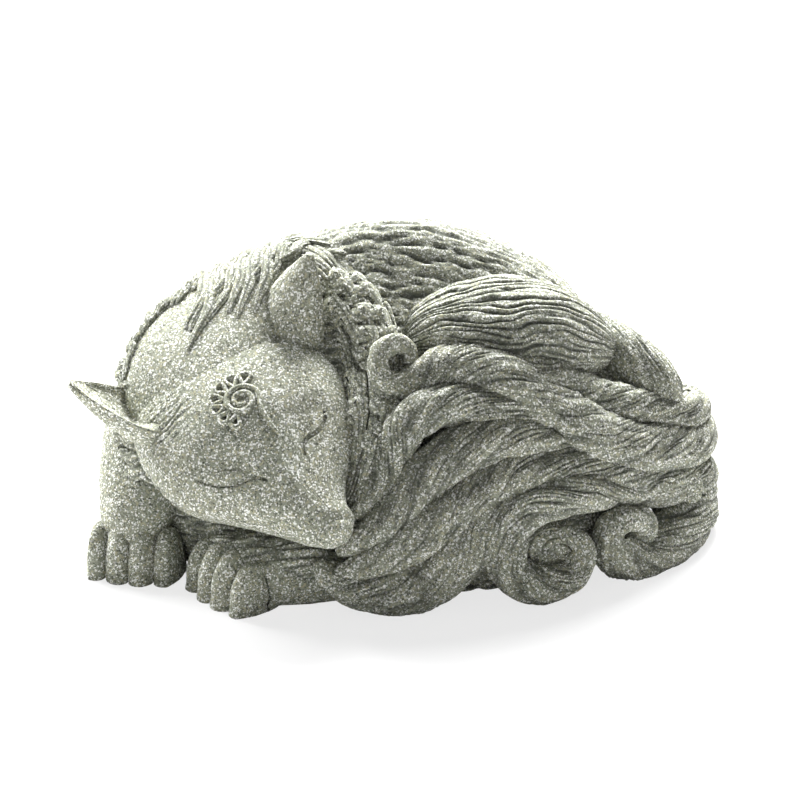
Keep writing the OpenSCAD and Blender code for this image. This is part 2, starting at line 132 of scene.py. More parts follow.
class Grain:
    """Repeatable noise and lock patterns on arrays of numbers."""

    def __init__(self, seed):
        chance = np.random.default_rng(seed)
        self.order = chance.permutation(1024)
        self.slopes = unit(chance.normal(size=(1024, 3)))
        self.draws = chance.random((1024, 3))

    def pick(self, i, j, k=0):
        first = self.order[i & 1023]
        second = self.order[(first + j) & 1023]
        return self.order[(second + k) & 1023]

    def wave(self, x, y, z=0.0):
        """Smooth noise from about -1 to 1, with one swell a unit."""
        x, y, z = np.broadcast_arrays(x, y, np.asarray(z, float))
        i, j, k = (np.floor(c).astype(int) for c in (x, y, z))
        u, v, w = x - i, y - j, z - k
        ease = [c ** 3 * (c * (c * 6 - 15) + 10) for c in (u, v, w)]
        total = 0
        for a in (0, 1):
            for b in (0, 1):
                for c in (0, 1):
                    slope = self.slopes[self.pick(i + a, j + b, k + c)]
                    dot = slope[..., 0] * (u - a) + slope[..., 1] * (v - b) + slope[..., 2] * (w - c)
                    share = 1
                    for corner, amount in zip((a, b, c), ease):
                        share = share * (amount if corner else 1 - amount)
                    total = total + dot * share
        return total * 1.6

    def on(self, points, size):
        """Noise at the points, in swells of the given size."""
        p = points / size
        return self.wave(p[..., 0], p[..., 1], p[..., 2])

    def locks(self, across, along):
        """Long cells, one a unit each way: nearness to the edge from 0 to 1, and a draw for each cell."""
        column = np.floor(across).astype(int)
        nearest = np.full(across.shape, 9.0)
        second = np.full(across.shape, 9.0)
        owner = np.zeros(across.shape)
        for di in (-1, 0, 1):
            i = column + di
            moved = along + self.draws[self.pick(i, 7), 2] * 5
            row = np.floor(moved).astype(int)
            for dj in (-1, 0, 1):
                j = row + dj
                draw = self.draws[self.pick(i, j)]
                x = i + 0.5 + 0.8 * (draw[..., 0] - 0.5)
                y = j + 0.5 + 0.8 * (draw[..., 1] - 0.5)
                gap = np.hypot(across - x, moved - y)
                closer = gap < nearest
                second = np.minimum(second, np.maximum(gap, nearest))
                owner = np.where(closer, draw[..., 2], owner)
                nearest = np.minimum(nearest, gap)
        return np.clip((second - nearest) / 0.85, 0, 1), owner


def sample(grid, row, column):
    """Points of a grid at places between its rows and columns."""
    row = np.clip(row, 0, grid.shape[0] - 1.001)
    column = np.clip(column, 0, grid.shape[1] - 1.001)
    i, j = row.astype(int), column.astype(int)
    u, v = (row - i)[:, None], (column - j)[:, None]
    near = grid[i, j] * (1 - v) + grid[i, j + 1] * v
    far = grid[i + 1, j] * (1 - v) + grid[i + 1, j + 1] * v
    return near * (1 - u) + far * u


def furrow(edge, sharpness):
    """Depth from 0 on top of a lock to 1 in the groove beside it."""
    return (1 - edge) ** sharpness


# Meshes

class Skin:
    """Collects grids of points into one closed mesh with a relief value on each point."""

    def __init__(self):
        self.points = []
        self.relief = []
        self.corners = []
        self.starts = []
        self.count = 0
        self.corner_count = 0

    def add_faces(self, faces):
        sides = faces.shape[1]
        self.starts.append(self.corner_count + sides * np.arange(len(faces)))
        self.corners.append(faces.ravel())
        self.corner_count += faces.size

    def add(self, grid, relief=None):
        """Adds rings of points, one ring a row, closed round and at both ends."""
        rings, sides = grid.shape[:2]
        relief = np.ones((rings, sides)) if relief is None else relief
        near, far = grid[0].mean(axis=0), grid[-1].mean(axis=0)
        ids = self.count + np.arange(rings * sides).reshape(rings, sides)
        after = np.roll(ids, -1, axis=1)
        first, last = self.count + rings * sides, self.count + rings * sides + 1
        quads = np.stack([ids[:-1], after[:-1], after[1:], ids[1:]], axis=-1).reshape(-1, 4)
        caps = [np.stack([np.full(sides, first), after[0], ids[0]], axis=-1),
                np.stack([np.full(sides, last), ids[-1], after[-1]], axis=-1)]
        if volume(grid) < 0:
            quads = quads[:, ::-1]
            caps = [cap[:, ::-1] for cap in caps]
        self.add_faces(quads)
        for cap in caps:
            self.add_faces(cap)
        self.points.append(np.vstack([grid.reshape(-1, 3), near, far]))
        self.relief.append(np.r_[relief.ravel(), relief[0].mean(), relief[-1].mean()])
        self.count += rings * sides + 2

    def build(self, name, node):
        """Makes the piece that stands for a node of the frame."""
        mesh = bpy.data.meshes.new(name)
        points = np.vstack(self.points)
        points[:, 2] = np.maximum(points[:, 2], 0)
        mesh.vertices.add(len(points))
        mesh.vertices.foreach_set("co", (points * MM).astype(np.float32).ravel())
        mesh.loops.add(self.corner_count)
        mesh.loops.foreach_set("vertex_index", np.concatenate(self.corners).astype(np.int32))
        starts = np.concatenate(self.starts).astype(np.int32)
        mesh.polygons.add(len(starts))
        mesh.polygons.foreach_set("loop_start", starts)
        mesh.update(calc_edges=True)
        mesh.validate()
        mesh.shade_smooth()
        # Relief, 1 on the surface and less in grooves, sets how much painted shade and grime the stone colour
        # gets
        values = mesh.attributes.new("relief", "FLOAT", "POINT")
        values.data.foreach_set("value", np.concatenate(self.relief).astype(np.float32))
        piece = bpy.data.objects.new(name, mesh)
        bpy.context.scene.collection.objects.link(piece)
        mesh.materials.append(cast_stone())
        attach(piece, BODY)
        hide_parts(node)
        return piece


def cover(node, *shells):
    """Builds the piece that stands for a node out of shells, each a grid with its relief."""
    skin = Skin()
    for shell in shells:
        skin.add(*shell)
    return skin.build("fox_" + node, node)


def volume(grid):
    """Signed volume inside closed rings, positive where the ring order faces outwards."""
    centre = grid.mean(axis=(0, 1))
    a = grid[:-1] - centre
    b = np.roll(grid, -1, axis=1)[:-1] - centre
    c = np.roll(grid, -1, axis=1)[1:] - centre
    d = grid[1:] - centre
    return (np.cross(a, b) * c).sum() + (np.cross(a, c) * d).sum()


def outward(grid):
    """Unit normals of closed rings, pointing out of the form."""
    along = np.gradient(grid, axis=0)
    around = np.roll(grid, -1, axis=1) - np.roll(grid, 1, axis=1)
    normal = unit(np.cross(around, along))
    return normal if volume(grid) > 0 else -normal


def carve(grid, depth, deepest):
    """Sinks the grid by the depths along its normals, and gives the relief left, 1 on the surface."""
    return grid - outward(grid) * depth[..., None], 1 - np.clip(depth / deepest, 0, 1)


def frames(path, heart):
    """Heading, outward and sideways directions along a path that faces away from the heart."""
    heading = unit(np.gradient(path[:, :3], axis=0))
    away = unit(path[:, :3] - heart)
    out = unit(away - (away * heading).sum(axis=1, keepdims=True) * heading)
    return heading, out, np.cross(out, heading)


def outer_angles(count, crowd=0.5):
    """Angles round a ring, closer together on the side that faces outwards."""
    w = np.arange(count) / count
    return -math.pi / 2 + 2 * math.pi * (w + crowd * np.sin(2 * math.pi * w) / (2 * math.pi))


def loft(path, angles, heart):
    """Oval rings along a path whose columns 3 and 4 hold the half width and half thickness."""
    heading, out, side = frames(path, heart)
    across = side[:, None] * (path[:, 3, None] * np.cos(angles))[..., None]
    proud = out[:, None] * (path[:, 4, None] * np.sin(angles))[..., None]
    return path[:, None, :3] + across + proud


# Stone material

class Value:
    """A socket of a material, on which the operators add Math nodes."""

    def __init__(self, recipe, socket):
        self.recipe = recipe
        self.socket = socket

    def math(self, operation, first, second):
        return self.recipe.node("Math", {"operation": operation}, {0: first, 1: second})

    def __add__(self, other):
        return self.math("ADD", self, other)

    def __mul__(self, other):
        return self.math("MULTIPLY", self, other)

    def __gt__(self, edge):
        return self.math("GREATER_THAN", self, edge)

    __radd__ = __add__


class Recipe:
    """The nodes that mix one material or the world."""

    def __init__(self, owner):
        owner.use_nodes = True
        self.tree = owner.node_tree
        self.tree.nodes.clear()

    def node(self, kind, settings=None, inputs=None, output=0):
        """Adds a node: its settings first, then its inputs, which are numbers, colours or values."""
        made = self.tree.nodes.new("ShaderNode" + kind)
        for key, setting in (settings or {}).items():
            setattr(made, key, setting)
        for key, given in (inputs or {}).items():
            if isinstance(given, Value):
                self.tree.links.new(given.socket, made.inputs[key])
            else:
                made.inputs[key].default_value = given
        return Value(self, made.outputs[output] if made.outputs else None)

    def blend(self, share, first, second):
        """Mixes two colours by a share."""
        return self.node("Mix", {"data_type": "RGBA"}, {0: share, 6: first, 7: second}, 2)

    def soft(self, low, high, amount):
        """Smooth share from 0 at low to 1 at high."""
        return self.node("MapRange", {"interpolation_type": "SMOOTHSTEP"},
                         {"Value": amount, "From Min": low, "From Max": high})

    def speckle(self, place_value, size):
        """Cells of stone grain: three draws for each cell and the distance from its middle."""
        settings = {"voronoi_dimensions": "3D", "feature": "F1"}
        inputs = {"Vector": place_value, "Scale": 1 / (size * MM), "Randomness": 1.0}
        colour = self.node("TexVoronoi", settings, inputs, "Color")
        cell = colour.socket.node
        split = self.node("SeparateColor", {}, {"Color": colour}).socket.node
        draws = [Value(self, split.outputs[k]) for k in range(3)]
        return draws, Value(self, cell.outputs["Distance"])


def colour4(colour):
    return (*colour, 1.0)


WHITE = (1.0, 1.0, 1.0, 1.0)


def cast_stone():
    """The stone finish, mixed once: a grey-green ground with white, black and khaki grains, and painted shade
    and grime in the grooves.
    """
    known = bpy.data.materials.get("cast_stone")
    if known:
        return known
    looks = bpy.context.scene.fox_stone
    material = bpy.data.materials.new("cast_stone")
    mix = Recipe(material)
    spot = mix.node("TexCoord", {}, {}, "Object")
    grain = looks.grain_size / MM
    coarse, coarse_gap = mix.speckle(spot, grain)
    fine, fine_gap = mix.speckle(spot, grain * 0.55)
    cloud = mix.node("TexNoise", {"noise_dimensions": "3D"},
                     {"Vector": spot, "Scale": 1 / 0.03, "Detail": 3.0, "Roughness": 0.5}, "Fac")
    dust = mix.node("TexNoise", {"noise_dimensions": "3D"},
                    {"Vector": spot, "Scale": 1 / 0.0012, "Detail": 2.0, "Roughness": 0.6}, "Fac")
    relief = mix.node("Attribute", {"attribute_name": "relief"}, {}, "Fac")
    cool, warm = colour4(looks.ground_colour), colour4(looks.warm_ground_colour)
    ground = mix.blend(mix.soft(0.3, 0.7, cloud), cool, warm)
    ground = mix.blend(fine[0] * 0.85, ground, colour4(looks.pale_ground_colour))
    ground = mix.blend(mix.soft(0.35, 0.75, dust) * 0.35, ground, colour4(looks.dark_ground_colour))
    ground = mix.blend((coarse[2] > 1 - looks.khaki_share) * 0.8, ground, colour4(looks.khaki_colour))
    ground = mix.blend((coarse[0] > 1 - looks.white_share) * 0.75, ground, colour4(looks.white_colour))
    ground = mix.blend((fine[1] > 1 - looks.white_share) * 0.9, ground, colour4(looks.white_colour))
    ground = mix.blend((coarse[1] > 1 - looks.black_share) * 0.6, ground, colour4(looks.black_colour))
    ground = mix.blend((fine[2] > 1 - looks.black_share) * 0.7, ground, colour4(looks.black_colour))
    # Painted shade and grime: the colour turns towards the dark grime colour where the relief attribute is
    # low, in grooves, creases and pits, partly as dirt and partly as the shade that falls there
    shade_and_grime = mix.soft(0.85, 0.1, relief)
    colour = mix.blend(shade_and_grime * looks.groove_shade_and_grime, ground, colour4(looks.shade_and_grime_colour))
    height = coarse_gap * -0.5 + fine_gap * -0.3 + dust * 0.6
    bump = mix.node("Bump", {}, {"Height": height, "Strength": 0.5, "Distance": 0.0003}, "Normal")
    rough = 0.82 + coarse[0] * 0.12
    surface = mix.node("BsdfPrincipled", {}, {"Base Color": colour, "Roughness": rough, "Normal": bump,
                                              "Specular IOR Level": 0.25}, "BSDF")
    mix.node("OutputMaterial", {}, {"Surface": surface})
    return material


# Torso: levels of [z, reach left, reach right, reach back, reach front, middle y]
TORSO_LEVELS = [
    [-4, 116, 112, 76, 80, 10], [15, 124, 118, 84, 84, 10], [40, 128, 118, 86, 80, 11],
    [65, 123, 108, 81, 68, 13], [90, 110, 90, 70, 52, 16], [108, 92, 77, 56, 38, 19],
    [122, 70, 58, 41, 25, 21], [132, 42, 36, 25, 15, 22], [137.5, 22, 18, 12, 8, 22],
    [139.5, 8, 6, 4, 3, 22]]
TORSO_POWER = 2 / 0.9
TORSO_HEART = np.array([0.0, 14.0, 0.0])
# Mean half length and half girth of the torso, which turn its angles into millimetres of fur
TORSO_REACH = 118
TORSO_GIRTH = 84


def torso_share(clay, levels):
    """1 on the torso's skin, less inside it, for clay places."""
    z = clay[..., 2]
    left, right, back, front, middle = (np.interp(z, levels[:, 0], levels[:, k]) for k in range(1, 6))
    x, y = clay[..., 0], clay[..., 1] - middle
    wide = np.abs(x) / np.where(x < 0, left, right)
    deep = np.abs(y) / np.where(y < 0, front, back)
    share = wide ** TORSO_POWER + deep ** TORSO_POWER
    return np.where(z > levels[-1, 0], 9, share)


def torso_grid(rings, sides):
    """Rings across the body from its left end to its right end, over the ground."""
    levels = spline(TORSO_LEVELS, 12)
    turn = np.linspace(0.04, math.pi - 0.04, rings)[:, None]
    roll = np.linspace(0, math.pi, sides)[None, :]
    ring = np.sin(turn)
    ray = np.stack([-np.cos(turn) + 0 * roll, -ring * np.cos(roll), ring * np.sin(roll)], axis=-1)
    low = np.zeros((rings, sides))
    high = np.full((rings, sides), 200.0)
    for _ in range(18):
        middle = (low + high) / 2
        inside = torso_share(TORSO_HEART + ray * middle[..., None], levels) < 1
        low = np.where(inside, middle, low)
        high = np.where(inside, high, middle)
    return place(TORSO_HEART + ray * low[..., None]), turn + 0 * roll, roll + 0 * turn


# Haunch rows [x, y, z, half width, half thickness] from the hip to the knee
HAUNCH_ROWS = [
    [93, 8, 80, 4, 4], [88, 4, 85, 14, 11], [78, -2, 92, 22, 17], [63, -7, 97, 28, 22],
    [46, -10, 99, 31, 24], [27, -14, 100, 28, 21], [11, -18, 99, 19, 15], [3, -21, 97, 9, 8],
    [1, -21, 96, 3, 3]]
# Tails: radius, turn of the flutes in degrees from row to row, and rows
# [x, y, z, half width, half thickness], the last two as shares of the radius
TAILS = {
    "tail_root": (17, 4, [
        [66, 34, 88, 0.4, 0.4], [84, 20, 87, 0.8, 0.7], [98, 8, 82, 0.9, 0.8], [109, 0, 74, 0.9, 0.85],
        [117, -4, 66, 0.75, 0.75], [121, -5, 57, 0.4, 0.4]]),
    "tail_hook": (14, -12, [
        [69, -36, 62, 0.35, 0.35], [63, -42, 73, 0.75, 0.7], [54, -44, 84, 0.9, 0.85],
        [39, -41, 92, 0.95, 0.9], [22, -40, 94, 0.85, 0.8], [10, -43, 91, 0.65, 0.65],
        [0, -47, 89, 0.48, 0.5], [-8, -49, 94, 0.38, 0.42], [-9, -44, 102, 0.34, 0.4],
        [-2, -39, 105, 0.32, 0.36], [4, -38, 101, 0.28, 0.3], [4, -41, 96, 0.2, 0.22]]),
    "tail_rope": (12, -14, [
        [129, 20, 58, 0.4, 0.4], [135, 10, 54, 0.75, 0.75], [128, -3, 56, 0.85, 0.8],
        [112, -14, 63, 0.85, 0.8], [95, -22, 70, 0.85, 0.8], [79, -28, 77, 0.9, 0.85],
        [66, -33, 86, 0.9, 0.8], [54, -35, 94, 0.65, 0.6], [44, -34, 99, 0.3, 0.3]]),
    "tail_crest": (14, -12, [
        [120, 50, 42, 0.4, 0.4], [133, 30, 42, 0.75, 0.7], [135, 6, 41, 0.95, 0.85],
        [123, -14, 45, 0.95, 0.85], [106, -28, 51, 0.95, 0.85], [88, -38, 60, 0.95, 0.9],
        [75, -42, 71, 0.9, 0.85], [67, -43, 80, 0.7, 0.6], [62, -42, 87, 0.3, 0.3]]),
    "tail_cheek": (11, -9, [
        [70, -40, 64, 0.4, 0.4], [58, -47, 72, 0.65, 0.65], [45, -51, 79, 0.8, 0.8],
        [29, -53, 83, 0.9, 0.85], [14, -56, 82, 0.95, 0.85], [3, -60, 76, 0.95, 0.85],
        [-3, -64, 65, 0.85, 0.8], [-8, -69, 54, 0.75, 0.7], [-16, -73, 45, 0.55, 0.5],
        [-24, -76, 40, 0.2, 0.2]]),
    "tail_sweep": (13, -9, [
        [75, -40, 57, 0.3, 0.3], [64, -49, 63, 0.65, 0.65], [47, -56, 68, 0.9, 0.85],
        [29, -62, 66, 0.95, 0.85], [14, -68, 58, 0.9, 0.85], [3, -73, 47, 0.85, 0.8],
        [-8, -78, 37, 0.7, 0.65], [-19, -81, 30, 0.45, 0.45], [-27, -82, 26, 0.15, 0.15]]),
    "tail_low": (14, -10, [
        [128, 40, 20, 0.4, 0.4], [138, 8, 22, 0.8, 0.75], [125, -14, 27, 0.9, 0.85],
        [104, -32, 36, 0.9, 0.85], [83, -45, 46, 0.85, 0.8], [64, -54, 52, 0.85, 0.8],
        [46, -62, 53, 0.9, 0.85], [31, -70, 46, 0.9, 0.85], [15, -77, 37, 0.85, 0.8],
        [0, -82, 28, 0.7, 0.65], [-16, -85, 21, 0.5, 0.45], [-28, -86, 18, 0.2, 0.2]]),
    "tail_chin": (14, -8, [
        [56, -60, 44, 0.3, 0.3], [45, -70, 42, 0.6, 0.65], [34, -76, 34, 0.85, 0.8],
        [24, -80, 22, 0.9, 0.85], [10, -83, 12, 0.9, 0.85], [-6, -85, 9, 0.8, 0.8],
        [-21, -86, 11, 0.6, 0.65], [-31, -85, 17, 0.4, 0.45], [-35, -83, 23, 0.2, 0.2]]),
    "tail_spiral": (12, 10, [
        [106, -38, 33, 0.45, 0.45], [87, -51, 40, 0.8, 0.75], [69, -62, 43, 0.85, 0.85],
        [53, -70, 40, 0.9, 0.85], [45, -76, 28, 0.9, 0.85], [49, -79, 14, 0.85, 0.85],
        [62, -79, 9, 0.8, 0.8], [75, -76, 13, 0.65, 0.65], [79, -72, 23, 0.5, 0.5], [72, -69, 28, 0.4, 0.4],
        [65, -70, 24, 0.3, 0.3], [65, -71, 20, 0.15, 0.15]]),
    "tail_corner": (16, 8, [
        [120, 50, 10, 0.4, 0.4], [134, 30, 11, 0.7, 0.65], [136, 6, 11, 0.85, 0.8], [131, -14, 9, 0.9, 0.9],
        [119, -33, 6, 0.9, 0.9], [105, -47, 5, 0.8, 0.8], [94, -56, 13, 0.65, 0.65],
        [92, -57, 24, 0.5, 0.5], [99, -54, 28, 0.4, 0.4], [106, -51, 24, 0.3, 0.3],
        [106, -52, 19, 0.15, 0.15]]),
}
# Neck ruff round the back of the head, in the same rows
RUFF_RADIUS = 14
RUFF_ROWS = [
    [-108, -44, 40, 0.6, 0.6], [-115, -28, 64, 1, 0.85], [-109, -6, 86, 1.2, 0.9], [-92, 9, 101, 1.2, 0.9],
    [-66, 16, 114, 1.2, 0.85], [-42, 12, 121, 1.2, 0.85], [-22, -2, 112, 1.1, 0.8], [-10, -26, 94, 1, 0.85],
    [-12, -52, 68, 0.9, 0.8], [-22, -70, 44, 0.5, 0.6]]


# Degrees of strand twist for each degree of the tail's own, between two rows
TWIST = 5
# Stone inside the curls and behind them: [middle, radius, how far it stands forward]
CORES = {
    "tail_spiral": [((63, -74, 18), 15, 3)],
    "tail_corner": [((104, -50, 18), 11, 3), ((124, -22, 24), 14, 4)],
}


class FaceMap:
    """Places on the face, by the share of the head's length and the angle round it, 90 on the midline."""
    length = 109
    side = unit(np.array([0.90, 0.29, 0.31]))
    nose = unit(np.array([0.406, -0.829, -0.386]))
    tip = np.array([-27.0, -98.0, 42.0])
    # Share of length, drift to the side, half width, crown, jaw
    stations = [
        [-0.22, -3, 10, 4, 8], [-0.18, -2, 17, 10, 13], [-0.1, -3, 30, 19, 22], [0, -6, 42, 24, 27],
        [0.15, -10, 48, 28, 29], [0.3, -11, 49, 29, 30], [0.45, -11, 47, 28, 28], [0.57, -11, 41, 24, 25],
        [0.68, -9, 31, 19, 21], [0.78, -7, 22, 15.5, 17], [0.88, -4, 15, 12.5, 14],
        [0.95, -1, 12, 10.5, 11], [1, 0, 7, 6, 6]]

    def __init__(self):
        self.crown = np.cross(self.nose, self.side)
        self.fine = spline(self.stations, 10)
        self.origin = place(self.tip)

    def spot(self, share, side, crown):
        share, side, crown = np.broadcast_arrays(share, side, crown)
        return (self.origin + self.nose * ((share - 1) * self.length)[..., None]
                + self.side * side[..., None] + self.crown * crown[..., None])

    def at(self, share, angle, lift=0.0):
        share, angle = np.broadcast_arrays(np.asarray(share, float), np.asarray(angle, float))
        drift, wide, crown, jaw = (np.interp(share, self.fine[:, 0], self.fine[:, k]) for k in range(1, 5))
        turn = np.radians(angle)
        rise = np.where(np.sin(turn) > 0, crown, jaw)
        return self.spot(share, drift + (wide + lift) * np.cos(turn), (rise + lift) * np.sin(turn))


class FoxOperator:
    """What the fox's operators share."""
    bl_options = {"REGISTER", "UNDO"}


def length_prop(name, default, description):
    return FloatProperty(name=name, description=description, default=default, unit="LENGTH")


def share_prop(name, default, description):
    return FloatProperty(name=name, description=description, default=default, min=0, max=1, subtype="FACTOR")


def colour_prop(name, default, description):
    return FloatVectorProperty(name=name, description=description, default=default, subtype="COLOR")


def number_prop(name, default, description):
    return FloatProperty(name=name, description=description, default=default, min=0)


class FoxFurSizes(bpy.types.PropertyGroup):
    """Sizes of the carved fur."""
    back_lock: length_prop("Back Lock", 0.0027, "Width of a fur lock on the back")
    back_length: length_prop("Back Lock Length", 0.017, "Length of a fur lock on the back")
    back_depth: length_prop("Back Groove", 0.0019, "Depth of the grooves on the back")
    haunch_lock: length_prop("Haunch Lock", 0.0036, "Width of a fur lock on the haunch")
    haunch_length: length_prop("Haunch Lock Length", 0.026, "Length of a fur lock on the haunch")
    haunch_depth: length_prop("Haunch Groove", 0.002, "Depth of the grooves on the haunch")
    tail_lock: length_prop("Tail Lock", 0.0023, "Width of a fur lock on a tail")
    tail_length: length_prop("Tail Lock Length", 0.02, "Length of a fur lock on a tail")
    tail_depth: length_prop("Tail Groove", 0.0012, "Depth of the grooves between tail locks")
    strand_depth: length_prop("Tail Strand", 0.0008, "Depth of the valleys between thick tail strands")
    strands: IntProperty(name="Strands", description="Thick strands of fur round one tail", default=5, min=3)


class FoxStoneLooks(bpy.types.PropertyGroup):
    """Colours and grain of the cast stone."""
    ground_colour: colour_prop("Ground", (0.155, 0.168, 0.12), "Grey-green ground of the stone")
    warm_ground_colour: colour_prop("Warm Ground", (0.185, 0.185, 0.131), "Ground where the mix is yellower")
    pale_ground_colour: colour_prop("Pale Ground", (0.37, 0.388, 0.314), "Pale grains of the ground")
    dark_ground_colour: colour_prop("Dark Ground", (0.07, 0.078, 0.06), "Dark dust between the grains")
    khaki_colour: colour_prop("Khaki Grain", (0.34, 0.33, 0.22), "Khaki grains")
    white_colour: colour_prop("White Grain", (0.80, 0.81, 0.78), "White grains")
    black_colour: colour_prop("Black Grain", (0.03, 0.033, 0.03), "Black grains")
    # Dark colour and share mixed into the grooves, partly grime and partly painted shade
    shade_and_grime_colour: colour_prop("Grime", (0.05, 0.055, 0.045), "Dark deposit in the grooves")
    groove_shade_and_grime: share_prop("Grime Share", 0.8, "How much of the deposit lies in a groove")
    grain_size: length_prop("Grain Size", 0.00085, "Size of a coarse grain")
    white_share: share_prop("White Share", 0.11, "Share of white grains")
    black_share: share_prop("Black Share", 0.08, "Share of black grains")
    khaki_share: share_prop("Khaki Share", 0.16, "Share of khaki grains")


class FoxStageSizes(bpy.types.PropertyGroup):
    """Camera and studio light."""
    elevation: FloatProperty(name="Elevation", description="Height of the view above the horizon",
                             default=math.radians(24), subtype="ANGLE")
    distance: length_prop("Distance", 1.0, "Distance of the camera from its target")
    lens: number_prop("Lens", 99, "Focal length of the camera in millimetres")
    key_power: number_prop("Key Light", 34, "Power of the key light from the upper left in watts")
    top_power: number_prop("Top Light", 150, "Power of the light from above and behind in watts")
    fill_power: number_prop("Fill Light", 2.5, "Power of the fill light in watts")
    ambient: number_prop("Ambient", 0.2, "Strength of the plain white surroundings")
    floor_glow: share_prop("Floor White", 0.75, "Share of plain white in the floor that the camera sees")
    floor_colour: colour_prop("Floor", (0.86, 0.86, 0.86), "Pale floor")


def fur_sizes():
    """The fur sizes in millimetres, by name."""
    sizes = bpy.context.scene.fox_fur
    names = [key for key in FoxFurSizes.__annotations__ if key != "strands"]
    return {name: getattr(sizes, name) / MM for name in names}


def combed(grain, across, along, size, length):
    """Depth from 0 to 1 of combed grooves that wander, fork and fade, over coordinates in millimetres."""
    x, y = across / size, along / length
    drift = 0.9 * grain.wave(x / 2.4, y, 3.3) + 0.4 * grain.wave(x / 0.9, y * 2.3, 5.1)
    ridge = np.abs(np.sin(math.pi * (x + drift)))
    bite = fade(grain.wave(x / 1.3, y * 1.6, 8.2), -0.45, 0.25)
    hair = np.abs(np.sin(math.pi * (2.7 * x + 1.3 * grain.wave(x / 0.8, y * 1.7, 6.4))))
    return (1 - ridge) ** 1.7 * (0.3 + 0.7 * bite) + 0.16 * (1 - hair) ** 1.5


def lock_fur(grain, across, along, size, length, depth):
    """Carving depth of fur locks with finer hairs on them, over coordinates in millimetres."""
    wander = 0.5 * grain.wave(across / size / 4, along / length / 1.2, 3.3)
    wide = across / size + wander
    edge, draw = grain.locks(wide, along / length)
    hair = np.abs(grain.wave(wide * 2.7, along / length * 2.2, 9.1))
    return depth * (0.85 * furrow(edge, 1.7) + 0.1 * draw + 0.12 * (1 - np.clip(hair / 0.5, 0, 1)))


# Rings along a form and sides round it
TORSO_RINGS = 270
TORSO_SIDES = 360
HAUNCH_SIDES = 230
TAIL_SIDES = 120
RUFF_SIDES = 140
LEG_SIDES = 110
# Tufts in the fur: [width, length, depth of the border, its sharpness, depth of a tuft's own level]
TUFTS = {
    "back": (11, 19, 0.55, 2.5, 0.25),
    "haunch": (12, 30, 0.6, 2.5, 0.3),
    "tail": (8.5, 24, 0.9, 2.4, 0.3),
}
# Deepest carving of a fur, the depth at which its painted groove shade and grime is full
FUR_DEEPEST = {"back": 1.9, "haunch": 1.9, "tail": 2.7}


def fur_coat(grain, part, across, along):
    """Carving depth of combed fur with tufts, over coordinates in millimetres."""
    fur = fur_sizes()
    wide, long, border, sharpness, level = TUFTS[part]
    tuft, draw = grain.locks(across / wide, along / long)
    groove = combed(grain, across, along, fur[part + "_lock"], fur[part + "_length"])
    return fur[part + "_depth"] * groove + border * furrow(tuft, sharpness) + level * draw


def grit(grain, grid, rise=0.12, size=1.6):
    """Depth of the stone's roughness at the points of a grid."""
    return rise * np.abs(grain.on(grid, size))


class FOX_OT_torso(FoxOperator, bpy.types.Operator):
    """Curled torso, with fur that runs along the back from the neck to the rump"""
    bl_idname = "fox.torso"
    bl_label = "Torso"

    def execute(self, context):
        grain = Grain(11)
        grid, turn, roll = torso_grid(TORSO_RINGS, TORSO_SIDES)
        along = turn * TORSO_REACH
        across = roll * TORSO_GIRTH
        sway = grain.wave(across / 70, along / 40, 2.2) * 3.5 + grain.wave(across / 16, along / 12, 4.7) * 0.5
        calm = 0.25 + 0.75 * fade(turn, 0.12, 0.4) * fade(math.pi - turn, 0.1, 0.4)
        depth = fur_coat(grain, "back", across + sway, along) * calm + grit(grain, grid)
        carved, relief = carve(grid, depth, FUR_DEEPEST["back"])
        share = np.array([0.25, 0.5, 0.75])[None, :, None]
        under = carved[:, -1:] * (1 - share) + carved[:, :1] * share
        flat = np.ones(under.shape[:2])
        cover("torso", (np.concatenate([carved, under], axis=1), np.concatenate([relief, flat], axis=1)))
        return {"FINISHED"}


class FOX_OT_haunch(FoxOperator, bpy.types.Operator):
    """Haunch, with long locks that run from the hip to the knee"""
    bl_idname = "fox.haunch"
    bl_label = "Haunch"

    def execute(self, context):
        grain = Grain(23)
        path, marks = route(HAUNCH_ROWS, 1, 0.8)
        angles = outer_angles(HAUNCH_SIDES)
        grid = loft(path, angles, PILE_HEART)
        across = angles[None, :] * 27 + 0 * marks[:, None]
        along = marks[:, None] + 0 * across
        sway = grain.wave(across / 60, along / 34, 2.2) * 7 + grain.wave(across / 15, along / 9, 4.7)
        depth = fur_coat(grain, "haunch", across + sway, along) + grit(grain, grid)
        cover("haunch", carve(grid, depth, FUR_DEEPEST["haunch"]))
        return {"FINISHED"}


def tail_skin(node, grain):
    """A twisted tail: thick strands, tufts on the strands and combed hair on the tufts."""
    sizes = bpy.context.scene.fox_fur
    radius, turn, rows = TAILS[node]
    path, marks = route(rows, radius, 0.85)
    angles = outer_angles(TAIL_SIDES)
    grid = loft(path, angles, PILE_HEART)
    twist = np.radians(turn * TWIST) * path[:, 5]
    phase = (angles[None, :] - twist[:, None]) / (2 * math.pi)
    reach = np.minimum(path[:, 3], path[:, 4])
    thin = np.clip(reach / radius / 0.7, 0, 1)[:, None]
    along = marks[:, None] + 0 * phase
    wander = 0.3 * grain.wave(along / 30, phase * 2, 1.7)
    valley = 1 - np.abs(np.sin(math.pi * (phase * sizes.strands + wander))) ** 0.8
    across = phase * 2 * math.pi * radius * 0.9
    sway = 1.2 * grain.wave(across / 14, along / 20, 4.4)
    depth = sizes.strand_depth / MM * valley + fur_coat(grain, "tail", across + sway, along)
    return carve(grid, (depth + grit(grain, grid, 0.1)) * thin, FUR_DEEPEST["tail"])


